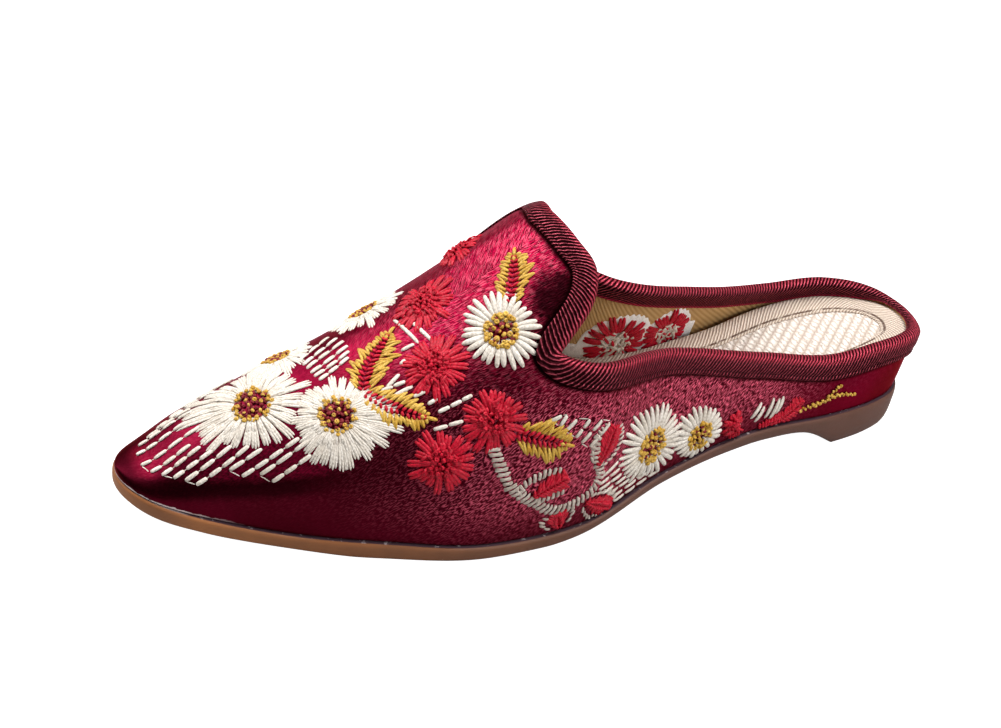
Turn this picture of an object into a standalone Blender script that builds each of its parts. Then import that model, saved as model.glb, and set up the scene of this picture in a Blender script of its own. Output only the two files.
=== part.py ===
"""A left mule with a pointed toe: moulded sole, hollow cloth upper, footbed and binding tapes.

Sizes are millimetres, scaled to metres as each mesh is made. s runs along the foot, from the back
of the heel (0) to the toe tip (LENGTH). The toe points to -Y, the outer side of the foot is +X and
the floor is z = 0.
"""
import math

import bmesh
import bpy
import numpy as np

MM = 0.001

LENGTH = 247.0           # sole, heel to toe tip
MIDDLE_S = 123.65        # halfway from the back of the binding to the toe tip
GAP = 0.4                # between pieces that touch
WALL = 1.8               # satin, interlining and lining
SOLE_LEDGE = 1.5         # the sole's edge outside the upper
SOLE_EDGE = (            # its rounded side: drawn in by this much, this share of the way up
    (1.5, 0.0), (0.5, 0.12), (0.0, 0.4), (0.0, 0.75), (0.5, 1.0),
)
OUTER_FULLNESS = 2.45    # exponents of the upper's rounded cross section
TOP_FULLNESS = 2.05
TIP_POWER = 1.5          # the low wall tips in mostly near its top edge
CREST_TAPER = 20.0       # the crest's shift fades where the half width is under this

# One row for each section of the foot: half width of the sole, how far its middle lies to the outer
# side, top of the sole, crest of the last, crest's own shift, fullness of the inner side, which falls
# straighter from the instep than the outer side, top of the cloth wall beside the foot, and the share
# of its half width that this wall tips in.
SECTION_COLUMNS = (
    "s", "half", "shift", "feather", "crest", "crest_shift", "inner_fullness", "collar", "tip_in",
)
SECTIONS = (
    (0, 0, 0, 11.9, 61, 0, 2.45, 26.3, 0.13),
    (6, 14.5, 0.4, 12, 61, 0, 2.45, 28, 0.13),
    (22, 22.4, -0.5, 11.8, 61, 0, 2.45, 29.3, 0.12),
    (42, 24.7, -0.2, 11.7, 61, 0, 2.45, 28.8, 0.13),
    (72, 23.8, 3, 12.8, 61.3, 0, 2.45, 35.2, 0.17),
    (102, 26.3, 5.6, 8.8, 61, -2, 2.15, 43.4, 0.14),
    (132, 40.3, 0.9, 4.8, 74, -6, 1.9, 50.2, -0.04),
    (147, 40.7, 1.4, 4.2, 66.3, -6.3, 1.7, 50.6, 0),
    (162, 40.2, 1.4, 4.5, 54.4, -5.2, 1.75, 48.3, 0),
    (187, 33.2, 1.3, 5.2, 41.2, -3, 1.85, 48.3, 0),
    (209, 24.5, 1.4, 5.7, 34.6, -1.5, 2.05, 48.3, 0),
    (229, 17.9, 0.5, 9, 24.5, -0.5, 2.2, 48.3, 0),
    (241, 11.2, 1, 12.9, 17.9, 0, 2.4, 48.3, 0),
    (247, 0, 0.2, 15.7, 16.8, 0, 2.45, 48.3, 0),
)

# Underside of the sole: the heel's flat tread, its breast, the arch, the forefoot's flat tread and
# the toe spring.
HEEL_TREAD = 37.0
UNDERSIDE_COLUMNS = ("s", "height")
UNDERSIDE = (
    (HEEL_TREAD, 0),
    (48, 6.6),
    (65, 8.6),
    (82, 7.9),
    (102, 5.6),
    (122, 2.9),
    (142, 0),
    (172, 0),
    (197, 0.2),
    (222, 3.1),
    (247, 9.3),
)

# At the back of the heel the wall leans back this far between the sole and its own top edge. The
# lean dies out along the foot.
HEEL_RAKE = 4.5
RAKE_END = 45.0

# Top of the footbed, which is a wedge under the heel.
FOOTBED_COLUMNS = ("s", "height")
FOOTBED = (
    (0, 25.5),
    (27, 23.4),
    (57, 19),
    (77, 15.9),
    (102, 12.7),
    (147, 7.6),
    (187, 8.3),
    (237, 15.5),
)
FOOTBED_EDGE_IN = SOLE_LEDGE + WALL + 2.0
FOOTBED_EDGE = (0.4, 0.8)            # its top edge is eased by this much across and down
FOOTBED_LEAN = 0.85                  # share of the heel wall's lean at its rim
FOOTBED_NARROW = 2.6                 # drawn in more at the heel's sides, where the wall tips in
FOOTBED_NARROW_SPAN = (60.0, 100.0)  # and this fades out between these
FOOTBED_NARROW_TAPER = 15.0          # and at the back, where the half width is under this
FOOTBED_TOE = (187.0, 235.0)         # its toe is drawn back from the first to the second
BED_TAPE_INSET = 0.2
BED_TAPE_WIDTH = 8.5
BED_TAPE_THICK = 1.0
BED_TAPE_BEVEL = 0.06                # of its width, at each edge
BED_TAPE_END = 195.0                 # the tape's two ends lie under the vamp
BED_CLEARANCE = 1.6                  # from the tape's top up to the collar's binding

# Edge of the cloth wall at the throat: u goes from the corner at the collar (0) up to the crest (1).
THROAT_COLUMNS = ("u", "s")
THROAT = ((0, 146.3), (0.2, 135.3), (0.45, 130.2), (0.7, 131.8), (1, 133.5))
CORNER_ROUND = 3.2       # rounds the corner where the collar turns up into the throat
TONGUE_GIRTH = 46.0      # over the instep, from that corner to the crest

BINDING_THICK = 0.85     # one layer of the folded tape
BINDING_GAP = 0.5        # between the tape and the wall inside its fold
BINDING_OUTSIDE = 5.4    # depth of the tape outside the wall, and inside it
BINDING_INSIDE = 5.0
BINDING_LEAST = 0.8      # depth inside, where the footbed is close below
FOLD_OUT, FOLD_UP = 0.5, 0.85        # shares of the thickness at the shoulders of the fold

# Mesh steps.
SOLE_STEPS = 56
SIDE_COLUMNS = 6
TONGUE_COLUMNS = 11
VAMP_ROWS = 22
VAMP_CROWDING = 1.25     # powers above 1 crowd the rows towards the throat
THROAT_CROWDING = 1.4    # and its columns towards the corner
QUARTER_ROWS = 24


def columns(names, rows):
    return {name: np.array([row[i] for row in rows], float) for i, name in enumerate(names)}


SECTION = columns(SECTION_COLUMNS, SECTIONS)
UNDER = columns(UNDERSIDE_COLUMNS, UNDERSIDE)
BED = columns(FOOTBED_COLUMNS, FOOTBED)
MOUTH = columns(THROAT_COLUMNS, THROAT)


def smooth(knots, values, x):
    """Cubic curve through the table's values, with the slope at each knot taken from its neighbours."""
    x = np.clip(x, knots[0], knots[-1])
    step = np.diff(knots)
    rise = np.diff(values) / step
    inner = (step[1:] * rise[:-1] + step[:-1] * rise[1:]) / (step[1:] + step[:-1])
    slope = np.concatenate([rise[:1], inner, rise[-1:]])
    i = np.clip(np.searchsorted(knots, x, side="right") - 1, 0, len(step) - 1)
    t = (x - knots[i]) / step[i]
    return (
        (2 * t**3 - 3 * t**2 + 1) * values[i]
        + (t**3 - 2 * t**2 + t) * step[i] * slope[i]
        + (3 * t**2 - 2 * t**3) * values[i + 1]
        + (t**3 - t**2) * step[i] * slope[i + 1]
    )


def turn(s):
    """Angle round the outline, 0 at the back of the heel and pi at the toe."""
    return np.arccos(np.clip(1 - 2 * np.asarray(s, float) / LENGTH, -1, 1))


def along(phi):
    return LENGTH / 2 * (1 - np.cos(phi))


def at(name, s):
    return smooth(SECTION["s"], SECTION[name], s)


def half_width(phi):
    return smooth(turn(SECTION["s"]), SECTION["half"], phi)


def underside(s):
    return np.maximum(smooth(UNDER["s"], UNDER["height"], s), 0)


def bed_top(s):
    return smooth(BED["s"], BED["height"], s)


def plan(phi, inset):
    """(s, half width) of the outline drawn in by inset, square to itself."""
    d = 1e-4
    ds = (along(phi + d) - along(phi - d)) / (2 * d)
    dh = (half_width(phi + d) - half_width(phi - d)) / (2 * d)
    size = np.hypot(ds, dh)
    half = np.maximum(half_width(phi) - inset * ds / size, 0)
    return along(phi) + inset * dh / size, half


def raked(s, share):
    """s of a point by the heel that is this share of the way up the wall, which leans back."""
    return s + HEEL_RAKE * (1 - share) * np.clip(1 - s / RAKE_END, 0, 1) ** 2


def middle():
    """The outline's middle in x, which is moved to x = 0."""
    phi = np.linspace(0, math.pi, 400)
    centre, half = at("shift", along(phi)), half_width(phi)
    return ((centre + half).max() + (centre - half).min()) / 2


MIDDLE = middle()


def place(x, s, z):
    x, s, z = np.broadcast_arrays(x, s, z)
    return np.stack([x - MIDDLE, MIDDLE_S - s, z], axis=-1)


# ---- the upper's surface -------------------------------------------------------------------------


def skin(phi, angle):
    """A point outside the cloth: angle goes from 0 at the outer edge, over the crest, to pi."""
    s, half = plan(phi, SOLE_LEDGE)
    foot, crest = at("feather", s) + GAP, at("crest", s)
    rise = np.abs(np.sin(angle)) ** (2 / TOP_FULLNESS)
    z = foot + (crest - foot) * rise
    height = np.clip((z - foot) / (at("collar", s) - foot), 0, 1)
    tip = at("tip_in", s) * height**TIP_POWER
    side = np.sign(np.cos(angle))
    edge = side * half * (1 - tip)
    shift = at("crest_shift", s) * np.minimum(half / CREST_TAPER, 1)
    over = np.clip(3 * angle / math.pi - 1, 0, 1)
    over = over * over * (3 - 2 * over)
    fullness = OUTER_FULLNESS + (at("inner_fullness", s) - OUTER_FULLNESS) * over
    x = at("shift", s) + shift + (edge - shift) * np.abs(np.cos(angle)) ** (2 / fullness)
    return place(x, raked(s, height), z)


def slopes(phi, angle):
    """Change of skin() with each of its two values."""
    d = 1e-3
    phi_low, phi_high = np.maximum(phi - d, 0), np.minimum(phi + d, math.pi)
    low, high = np.maximum(angle - d, 0), np.minimum(angle + d, math.pi)
    by_phi = (skin(phi_high, angle) - skin(phi_low, angle)) / (phi_high - phi_low)[..., None]
    by_angle = (skin(phi, high) - skin(phi, low)) / (high - low)[..., None]
    return by_phi, by_angle


def outward(phi, angle):
    normal = np.cross(*slopes(phi, angle)[::-1])
    return normal / np.linalg.norm(normal, axis=-1, keepdims=True)


def angle_at(phi, z):
    """The angle, on the outer side, where the skin reaches height z."""
    s, _ = plan(phi, SOLE_LEDGE)
    foot = at("feather", s) + GAP
    share = np.clip((z - foot) / (at("crest", s) - foot), 0, 1)
    return np.arcsin(share ** (TOP_FULLNESS / 2))


CORNER_S = MOUTH["s"][0] - CORNER_ROUND


def collar_angle(s):
    """Top of the wall beside the foot, which turns up as it nears the throat's corner."""
    turn_up = CORNER_ROUND**2 / np.maximum(MOUTH["s"][0] - s, CORNER_ROUND)
    return angle_at(turn(s), at("collar", s) + turn_up)


def throat(u):
    """(s, angle) of the throat's edge on the outer side."""
    corner = collar_angle(CORNER_S)
    turn_back = CORNER_ROUND**2 / (CORNER_ROUND + TONGUE_GIRTH * u)
    s = smooth(MOUTH["u"], MOUTH["s"], u) - turn_back
    return s, corner + (math.pi / 2 - corner) * u


# ---- meshes --------------------------------------------------------------------------------------


def material(name, colour, roughness):
    made = bpy.data.materials.new(name)
    made.use_nodes = True
    shader = made.node_tree.nodes["Principled BSDF"]
    shader.inputs["Base Color"].default_value = (*colour, 1.0)
    shader.inputs["Roughness"].default_value = roughness
    return made


def piece(name, bm, colour, roughness, closed=True):
    """The mesh as a named object, in metres, in the shoe's collection."""
    bmesh.ops.remove_doubles(bm, verts=bm.verts, dist=0.01)
    if closed:
        bmesh.ops.recalc_face_normals(bm, faces=bm.faces)
    bmesh.ops.scale(bm, vec=(MM, MM, MM), verts=bm.verts)
    mesh = bpy.data.meshes.new(name)
    bm.to_mesh(mesh)
    bm.free()
    mesh.shade_smooth()
    mesh.set_sharp_from_angle(angle=math.radians(40))
    mesh.materials.append(material(name, colour, roughness))
    made = bpy.data.objects.new(name, mesh)
    shoe.objects.link(made)
    return made


def skin_rows(bm, rows, closed=False):
    """Faces between neighbouring rows of points; a row's own ends join where closed is true."""
    grid = [[bm.verts.new(point) for point in row] for row in rows]
    for low, high in zip(grid, grid[1:]):
        ring = range(len(low)) if closed else range(len(low) - 1)
        for j in ring:
            k = (j + 1) % len(low)
            bm.faces.new((low[j], low[k], high[k], high[j]))
    return grid


def slab(bm, levels):
    """A solid between loops laid one above another, each as long as the outline, and capped across.

    A loop starts at the heel, goes to the toe on the outer side and comes back on the inner side.
    """
    grid = skin_rows(bm, levels, closed=True)
    count = len(grid[0])
    for loop, up in ((grid[0], False), (grid[-1], True)):
        for k in range(count // 2):
            face = (loop[k], loop[k + 1], loop[-k - 1], loop[(-k) % count])
            face = face[:3] if k == 0 else face
            face = (face[0], face[1], face[3]) if k == count // 2 - 1 else face
            bm.faces.new(face if up else face[::-1])


def loop(s, half, height, lean=0.0):
    """Outline with this half width at each s, at height(s): heel, outer side, toe, inner side."""
    outer, inner = (
        place(at("shift", s) + side * half, raked(s, lean), height(s)) for side in (1, -1)
    )
    return list(outer) + list(inner[-2:0:-1])


def make_outsole():
    """Moulded sole with a low heel, an arch and a rounded edge."""
    phi = np.linspace(0, math.pi, SOLE_STEPS + 1)
    tread_end = turn(HEEL_TREAD)
    phi[np.argmin(np.abs(phi - tread_end))] = tread_end
    levels = []
    for inset, share in SOLE_EDGE:
        def height(s, share=share):
            return underside(s) + (at("feather", s) - underside(s)) * share
        levels.append(loop(*plan(phi, inset), height))
    bm = bmesh.new()
    slab(bm, levels)
    piece("outsole", bm, (0.36, 0.20, 0.08), 0.45)


def bed_plan(phi, inset):
    """(s, half width) round the footbed, whose toe is drawn back to clear the toe of the upper."""
    s, half = plan(phi, inset)
    start, end = FOOTBED_TOE
    tip = LENGTH - inset
    s = np.where(s > start, start + (s - start) * (end - start) / (tip - start), s)
    first, last = FOOTBED_NARROW_SPAN
    narrow = np.clip((last - s) / (last - first), 0, 1) * np.clip(half / FOOTBED_NARROW_TAPER, 0, 1)
    return s, half - FOOTBED_NARROW * narrow


def make_insole():
    """Footbed: a thin board that thickens to a wedge under the heel."""
    phi = np.linspace(0, math.pi, SOLE_STEPS + 1)
    across, down = FOOTBED_EDGE

    def bottom(s):
        return at("feather", s) + GAP

    def low_edge(s):
        return bed_top(s) - down

    bm = bmesh.new()
    slab(bm, [
        loop(*bed_plan(phi, FOOTBED_EDGE_IN), bottom),
        loop(*bed_plan(phi, FOOTBED_EDGE_IN), low_edge, FOOTBED_LEAN),
        loop(*bed_plan(phi, FOOTBED_EDGE_IN + across), bed_top, FOOTBED_LEAN),
    ])
    piece("insole", bm, (0.80, 0.72, 0.56), 0.8)


def make_insole_tape():
    """Woven tape on the footbed's rim, from under the vamp round the heel and back."""
    phi = np.linspace(0, turn(BED_TAPE_END), SOLE_STEPS)
    edges = []
    for inset in (FOOTBED_EDGE_IN + BED_TAPE_INSET, FOOTBED_EDGE_IN + BED_TAPE_WIDTH):
        s, half = bed_plan(phi, inset)
        y = raked(s, FOOTBED_LEAN)
        outer, inner = (place(at("shift", s) + side * half, y, bed_top(s)) for side in (1, -1))
        edges.append(np.concatenate([outer[::-1], inner[1:]]))
    rim, field = edges
    low, high = np.array([0, 0, GAP]), np.array([0, 0, GAP + BED_TAPE_THICK])
    bevel = (field - rim) * BED_TAPE_BEVEL
    rows = [[r + low, f + low, f + high - i, r + high + i] for r, f, i in zip(rim, field, bevel)]
    bm = bmesh.new()
    grid = skin_rows(bm, rows, closed=True)
    bm.faces.new(grid[0][::-1])
    bm.faces.new(grid[-1])
    piece("insole_tape", bm, (0.84, 0.78, 0.64), 0.8)


def quarter_stations():
    """s of the rows beside the foot, close together near the throat's corner and at the heel."""
    t = np.linspace(0, 1, QUARTER_ROWS + 1)
    return CORNER_S * (1 - np.cos(math.pi * t)) / 2


def throat_stations():
    """u of the columns over the instep, close together near the corner."""
    return np.linspace(0, 1, TONGUE_COLUMNS + 1) ** THROAT_CROWDING


def make_upper():
    """Hollow cloth upper: the vamp with its high throat and the low wall round the heel."""
    throat_s, throat_angle = throat(throat_stations())
    corner = collar_angle(CORNER_S)
    side = corner * np.linspace(0, 1, SIDE_COLUMNS + 1)
    half_angle = np.concatenate([side[:-1], throat_angle])
    half_end = np.concatenate([np.full(SIDE_COLUMNS, CORNER_S), throat_s])
    angle = np.concatenate([half_angle, math.pi - half_angle[-2::-1]])
    end = turn(np.concatenate([half_end, half_end[-2::-1]]))
    shares = np.linspace(0, 1, VAMP_ROWS + 1) ** VAMP_CROWDING
    vamp = [skin(end + (math.pi - end) * share, angle) for share in shares]

    outer, inner = [], []
    for s in quarter_stations():
        reach = collar_angle(s) * np.linspace(0, 1, SIDE_COLUMNS + 1)
        phi = np.full_like(reach, turn(s))
        outer.append(skin(phi, reach))
        inner.append(skin(phi, math.pi - reach[::-1]))

    bm = bmesh.new()
    for patch in (vamp, outer, inner):
        skin_rows(bm, patch)
    upper = piece("upper", bm, (0.30, 0.01, 0.04), 0.4, closed=False)
    shell = upper.modifiers.new("wall", "SOLIDIFY")
    shell.thickness = WALL * MM
    shell.offset = -1.0
    shell.use_even_offset = True


def slide(phi, angle, direction, distance, steps=4):
    """Moves points over the skin by distance, heading along direction at each."""
    for _ in range(steps):
        by_phi, by_angle = slopes(phi, angle)
        normal = np.cross(by_angle, by_phi)
        normal /= np.linalg.norm(normal, axis=-1, keepdims=True)
        flat = direction - (direction * normal).sum(-1, keepdims=True) * normal
        flat /= np.linalg.norm(flat, axis=-1, keepdims=True)
        basis = np.stack([by_phi, by_angle], axis=-1)
        move = np.linalg.pinv(basis) @ (flat * distance[:, None] / steps)[..., None]
        phi, angle = phi + move[:, 0, 0], angle + move[:, 1, 0]
    return phi, angle


def mouth_edge():
    """(phi, angle) round the edge of the cloth: heel, outer collar, throat, inner collar."""
    s = quarter_stations()
    collar = np.stack([turn(s), collar_angle(s)], axis=1)
    throat_s, throat_angle = throat(throat_stations())
    tongue = np.stack([turn(throat_s), throat_angle], axis=1)
    outer = np.concatenate([collar, tongue[1:]])
    inner = outer[-2:0:-1] * [1, -1] + [0, math.pi]
    return np.concatenate([outer, inner]).T


def make_collar_binding():
    """Tape folded over the whole edge of the mouth, a U in section."""
    phi, angle = mouth_edge()
    edge = skin(phi, angle)
    normal = outward(phi, angle)
    tangent = np.roll(edge, -1, axis=0) - np.roll(edge, 1, axis=0)
    into = np.cross(normal, tangent)
    into /= np.linalg.norm(into, axis=1, keepdims=True)
    ground = bed_top(MIDDLE_S - edge[:, 1]) + BED_TAPE_THICK + BED_CLEARANCE
    inside = np.clip(edge[:, 2] - ground, BINDING_LEAST, BINDING_INSIDE)

    def leg(depth, away):
        p, a = slide(phi, angle, into, depth)
        return skin(p, a) + outward(p, a) * away

    outside = np.full(len(phi), BINDING_OUTSIDE)
    near, far = BINDING_GAP, BINDING_GAP + BINDING_THICK
    back_near, back_far = -WALL - near, -WALL - far
    ring = [
        leg(outside, far),
        leg(outside / 2, far),
        edge + normal * far,
        edge + normal * (far * FOLD_OUT) - into * (far * FOLD_UP),
        edge - normal * (WALL / 2) - into * far,
        edge - normal * (WALL + far * FOLD_OUT) - into * (far * FOLD_UP),
        edge + normal * back_far,
        leg(inside / 2, back_far),
        leg(inside, back_far),
        leg(inside, back_near),
        leg(inside / 2, back_near),
        edge + normal * back_near - into * near,
        edge + normal * near - into * near,
        leg(outside / 2, near),
        leg(outside, near),
    ]
    rows = list(np.stack(ring, axis=1))
    bm = bmesh.new()
    skin_rows(bm, rows + rows[:1], closed=True)
    piece("collar_binding", bm, (0.13, 0.01, 0.03), 0.6)


for old in list(bpy.data.objects):
    bpy.data.objects.remove(old)
shoe = bpy.data.collections.new("mule")
bpy.context.scene.collection.children.link(shoe)

make_outsole()
make_insole()
make_insole_tape()
make_upper()
make_collar_binding()
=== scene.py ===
import math

import bmesh
import bpy
import numpy as np
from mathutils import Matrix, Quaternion, Vector


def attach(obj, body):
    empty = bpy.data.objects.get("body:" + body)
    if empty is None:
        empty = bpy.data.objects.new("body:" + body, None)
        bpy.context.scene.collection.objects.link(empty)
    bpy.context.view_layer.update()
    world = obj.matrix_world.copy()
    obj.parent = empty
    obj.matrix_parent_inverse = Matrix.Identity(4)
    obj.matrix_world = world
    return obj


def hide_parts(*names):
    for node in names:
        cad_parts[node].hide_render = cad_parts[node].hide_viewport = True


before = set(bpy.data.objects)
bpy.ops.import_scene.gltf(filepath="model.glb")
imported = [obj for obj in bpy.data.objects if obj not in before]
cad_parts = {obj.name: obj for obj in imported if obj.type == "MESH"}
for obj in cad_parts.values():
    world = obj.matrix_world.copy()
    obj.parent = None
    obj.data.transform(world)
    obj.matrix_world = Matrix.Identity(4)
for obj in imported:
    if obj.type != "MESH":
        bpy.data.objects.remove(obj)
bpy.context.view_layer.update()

# ---- Moulded sole ------------------------------------------------------------------------------
# One rubber moulding with a low heel, a thin arch and a toe spring, tan at the toe and browner
# under the arch. Its upright edge stands 1.5 mm outside the upper, with a thin bead of cement
# squeezed out where the two meet. Lengths in this script are millimetres, and s runs from the
# back of the heel to the toe tip.
LENGTH = 247.0
MIDDLE_S = 123.65
SOLE_LEDGE = 1.5
SECTION_COLUMNS = (
    "s", "half", "shift", "feather", "crest", "crest_shift", "inner_fullness", "collar", "tip_in",
)
SECTIONS = (
    (0, 0, 0, 11.9, 61, 0, 2.45, 26.3, 0.13),
    (6, 14.5, 0.4, 12, 61, 0, 2.45, 28, 0.13),
    (22, 22.4, -0.5, 11.8, 61, 0, 2.45, 29.3, 0.12),
    (42, 24.7, -0.2, 11.7, 61, 0, 2.45, 28.8, 0.13),
    (72, 23.8, 3, 12.8, 61.3, 0, 2.45, 35.2, 0.17),
    (102, 26.3, 5.6, 8.8, 61, -2, 2.15, 43.4, 0.14),
    (132, 40.3, 0.9, 4.8, 74.4, -6, 1.8, 50.2, -0.04),
    (147, 40.7, 1.4, 4.2, 66.6, -6.3, 1.62, 50.6, 0),
    (162, 40.2, 1.4, 4.5, 54.4, -5.2, 1.75, 48.3, 0),
    (187, 33.2, 1.3, 5.2, 41.2, -3, 1.85, 48.3, 0),
    (209, 24.5, 1.4, 5.7, 34.6, -1.5, 2.05, 48.3, 0),
    (229, 17.9, 0.5, 9.3, 24.5, -0.5, 2.2, 48.3, 0),
    (241, 11.2, 1, 12.6, 17.2, 0, 2.4, 48.3, 0),
    (247, 0, 0.2, 13.8, 15.9, 0, 2.45, 48.3, 0),
)
HEEL_TREAD = 37.0
UNDERSIDE_S = (HEEL_TREAD, 48, 65, 82, 102, 122, 142, 172, 197, 222, 247)
UNDERSIDE_HEIGHT = (0, 6.6, 8.6, 7.9, 5.6, 2.9, 0, 0, 0.2, 3.1, 9.3)
HEEL_RAKE, RAKE_END = 6.3, 45.0
SOLE_EDGE = (
    (1.5, 0.0), (1.0, 0.02), (0.6, 0.08), (0.25, 0.17), (0.05, 0.3), (0.0, 0.45), (0.0, 0.75),
    (0.08, 0.87), (0.25, 0.95), (0.55, 1.0), (1.05, 1.0),
)


def smooth(knots, values, x):
    """Cubic curve through the values, with the slope at each knot taken from its neighbours."""
    knots, values = np.array(knots, float), np.array(values, float)
    x = np.clip(x, knots[0], knots[-1])
    step = np.diff(knots)
    rise = np.diff(values) / step
    inner = (step[1:] * rise[:-1] + step[:-1] * rise[1:]) / (step[1:] + step[:-1])
    slope = np.concatenate([rise[:1], inner, rise[-1:]])
    i = np.clip(np.searchsorted(knots, x, side="right") - 1, 0, len(step) - 1)
    t = (x - knots[i]) / step[i]
    return (
        (2 * t**3 - 3 * t**2 + 1) * values[i]
        + (t**3 - 2 * t**2 + t) * step[i] * slope[i]
        + (3 * t**2 - 2 * t**3) * values[i + 1]
        + (t**3 - t**2) * step[i] * slope[i + 1]
    )


def turn(s):
    """Angle round the outline, 0 at the back of the heel and pi at the toe."""
    return np.arccos(np.clip(1 - 2 * np.asarray(s, float) / LENGTH, -1, 1))


def along(phi):
    return LENGTH / 2 * (1 - np.cos(phi))


SECTION = dict(zip(SECTION_COLUMNS, np.array(SECTIONS, float).T))


def at(name, s):
    return smooth(SECTION["s"], SECTION[name], s)


def half_width(phi):
    return smooth(turn(SECTION["s"]), SECTION["half"], phi)


def underside(s):
    return np.maximum(smooth(UNDERSIDE_S, UNDERSIDE_HEIGHT, s), 0)


def plan(phi, inset):
    """(s, half width) of the outline drawn in by inset, square to itself."""
    d = 1e-4
    ds = (along(phi + d) - along(phi - d)) / (2 * d)
    dh = (half_width(phi + d) - half_width(phi - d)) / (2 * d)
    size = np.hypot(ds, dh)
    half = np.maximum(half_width(phi) - inset * ds / size, 0)
    return along(phi) + inset * dh / size, half


def raked(s, share):
    """s of a point by the heel, whose wall leans back, at this share of the way up."""
    return s + HEEL_RAKE * (1 - share) ** 0.8 * np.clip(1 - s / RAKE_END, 0, 1) ** 2


def middle():
    phi = np.linspace(0, math.pi, 400)
    centre, half = at("shift", along(phi)), half_width(phi)
    return ((centre + half).max() + (centre - half).min()) / 2


MIDDLE = middle()


def place(x, s, z):
    x, s, z = np.broadcast_arrays(x, s, z)
    return np.stack([x - MIDDLE, MIDDLE_S - s, z], axis=-1)


def piece(name, points, faces, charts, materials):
    """A mesh object from points in millimetres, four-sided faces and a chart place per corner."""
    mesh = bpy.data.meshes.new(name)
    mesh.from_pydata((points * 0.001).tolist(), [], faces.tolist())
    for layer, corners in charts.items():
        mesh.uv_layers.new(name=layer).data.foreach_set("uv", corners.astype(np.float32).ravel())
    for material in materials:
        mesh.materials.append(material)
    mesh.shade_smooth()
    made = bpy.data.objects.new(name, mesh)
    bpy.context.scene.collection.objects.link(made)
    return made


def weld(name, patches, materials, sharp, layers=None):
    """One object from patches of (grid of points, grid of chart places, material number)."""
    faces, kinds, start = [], [], 0
    for grid, _, kind in patches:
        rows, cols = grid.shape[:2]
        i, j = np.meshgrid(np.arange(rows - 1), np.arange(cols - 1), indexing="ij")
        first = (start + i * cols + j).ravel()
        faces.append(np.stack([first, first + 1, first + cols + 1, first + cols], axis=1))
        kinds.append(np.full(len(first), kind))
        start += rows * cols
    faces = np.concatenate(faces)
    points = np.concatenate([grid.reshape(-1, 3) for grid, _, _ in patches])
    charts = {"cloth": np.concatenate([laid.reshape(-1, 2) for _, laid, _ in patches])}
    for layer, values in (layers or {}).items():
        flat = np.concatenate([part.ravel() for part in values])
        charts[layer] = np.stack([flat, np.zeros(len(flat))], axis=-1)
    corners = {layer: places[faces.ravel()] for layer, places in charts.items()}
    made = piece(name, points, faces, corners, materials)
    mesh = made.data
    mesh.polygons.foreach_set("material_index", np.concatenate(kinds).astype(np.int32))
    form = bmesh.new()
    form.from_mesh(mesh)
    bmesh.ops.remove_doubles(form, verts=form.verts, dist=2e-6)
    bmesh.ops.dissolve_degenerate(form, edges=form.edges, dist=1e-7)
    form.to_mesh(mesh)
    form.free()
    mesh.set_sharp_from_angle(angle=math.radians(sharp))
    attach(made, "root")
    return made


def lengths(points):
    """Length walked from the first point to each of a line's points."""
    return np.concatenate([[0], np.cumsum(np.linalg.norm(np.diff(points, axis=0), axis=1))])


def ring(s, half, height, lean=0.0):
    """Closed outline: heel, outer side, toe, inner side and back to the heel."""
    outer = place(at("shift", s) + half, raked(s, lean), height)
    inner = place(at("shift", s) - half, raked(s, lean), height)
    return np.concatenate([outer, inner[-2::-1]])


def ring_chart(points, across):
    """Chart of a line: length walked along it, and one height across it."""
    return np.stack([lengths(points), np.full(len(points), across)], axis=-1)


def across_grid(outline, columns=7):
    """Grid that spans a ring from its outer side to its inner side, charted in plan."""
    n = len(outline) // 2
    outer, inner = outline[: n + 1], outline[-1 : n - 1 : -1]
    t = np.linspace(0, 1, columns)[None, :, None]
    grid = outer[:, None] * (1 - t) + inner[:, None] * t
    return grid, grid[..., :2]


def node(tree, kind, links=None, **settings):
    """A shader node; links gives each input's value or the socket that feeds it."""
    made = tree.nodes.new(kind if kind.startswith("Node") else "ShaderNode" + kind)
    for key, value in settings.items():
        setattr(made, key, value)
    for key, source in (links or {}).items():
        if isinstance(source, bpy.types.NodeSocket):
            tree.links.new(source, made.inputs[key])
        else:
            made.inputs[key].default_value = source
    return made


def calc(tree, operation, *values):
    return node(tree, "Math", dict(enumerate(values)), operation=operation).outputs[0]


def times(tree, first, *others):
    for other in others:
        first = calc(tree, "MULTIPLY", first, other)
    return first


def laid_on(tree, layer="cloth"):
    """A chart's place, and the two numbers in it."""
    place_at = node(tree, "UVMap", uv_map=layer).outputs[0]
    parts = node(tree, "SeparateXYZ", {0: place_at}).outputs
    return place_at, parts["X"], parts["Y"]


def blend(tree, share, first, second):
    """Colour between two colours or colour sockets."""
    made = node(tree, "Mix", data_type="RGBA")
    for key, source in ((0, share), (6, first), (7, second)):
        if isinstance(source, bpy.types.NodeSocket):
            tree.links.new(source, made.inputs[key])
        else:
            made.inputs[key].default_value = source if key == 0 else (*source, 1.0)
    return made.outputs[2]


def tinted(tree, tone, *coats):
    """The tone under coats of (share, colour), laid on in turn."""
    for share, colour in coats:
        tone = blend(tree, share, tone, colour)
    return tone


def speck(tree, place_at, scale, detail, roughness=0.5):
    """Noise of about 0 to 1."""
    links = {"Vector": place_at, "Scale": scale, "Detail": detail, "Roughness": roughness}
    return node(tree, "TexNoise", links).outputs["Fac"]


def stretch(tree, value, low, high, to_low=0.0, to_high=1.0):
    """Value from low..high to to_low..to_high, held at the ends."""
    links = {"Value": value, "From Min": low, "From Max": high, "To Min": to_low, "To Max": to_high}
    return node(tree, "MapRange", links).outputs["Result"]


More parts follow.
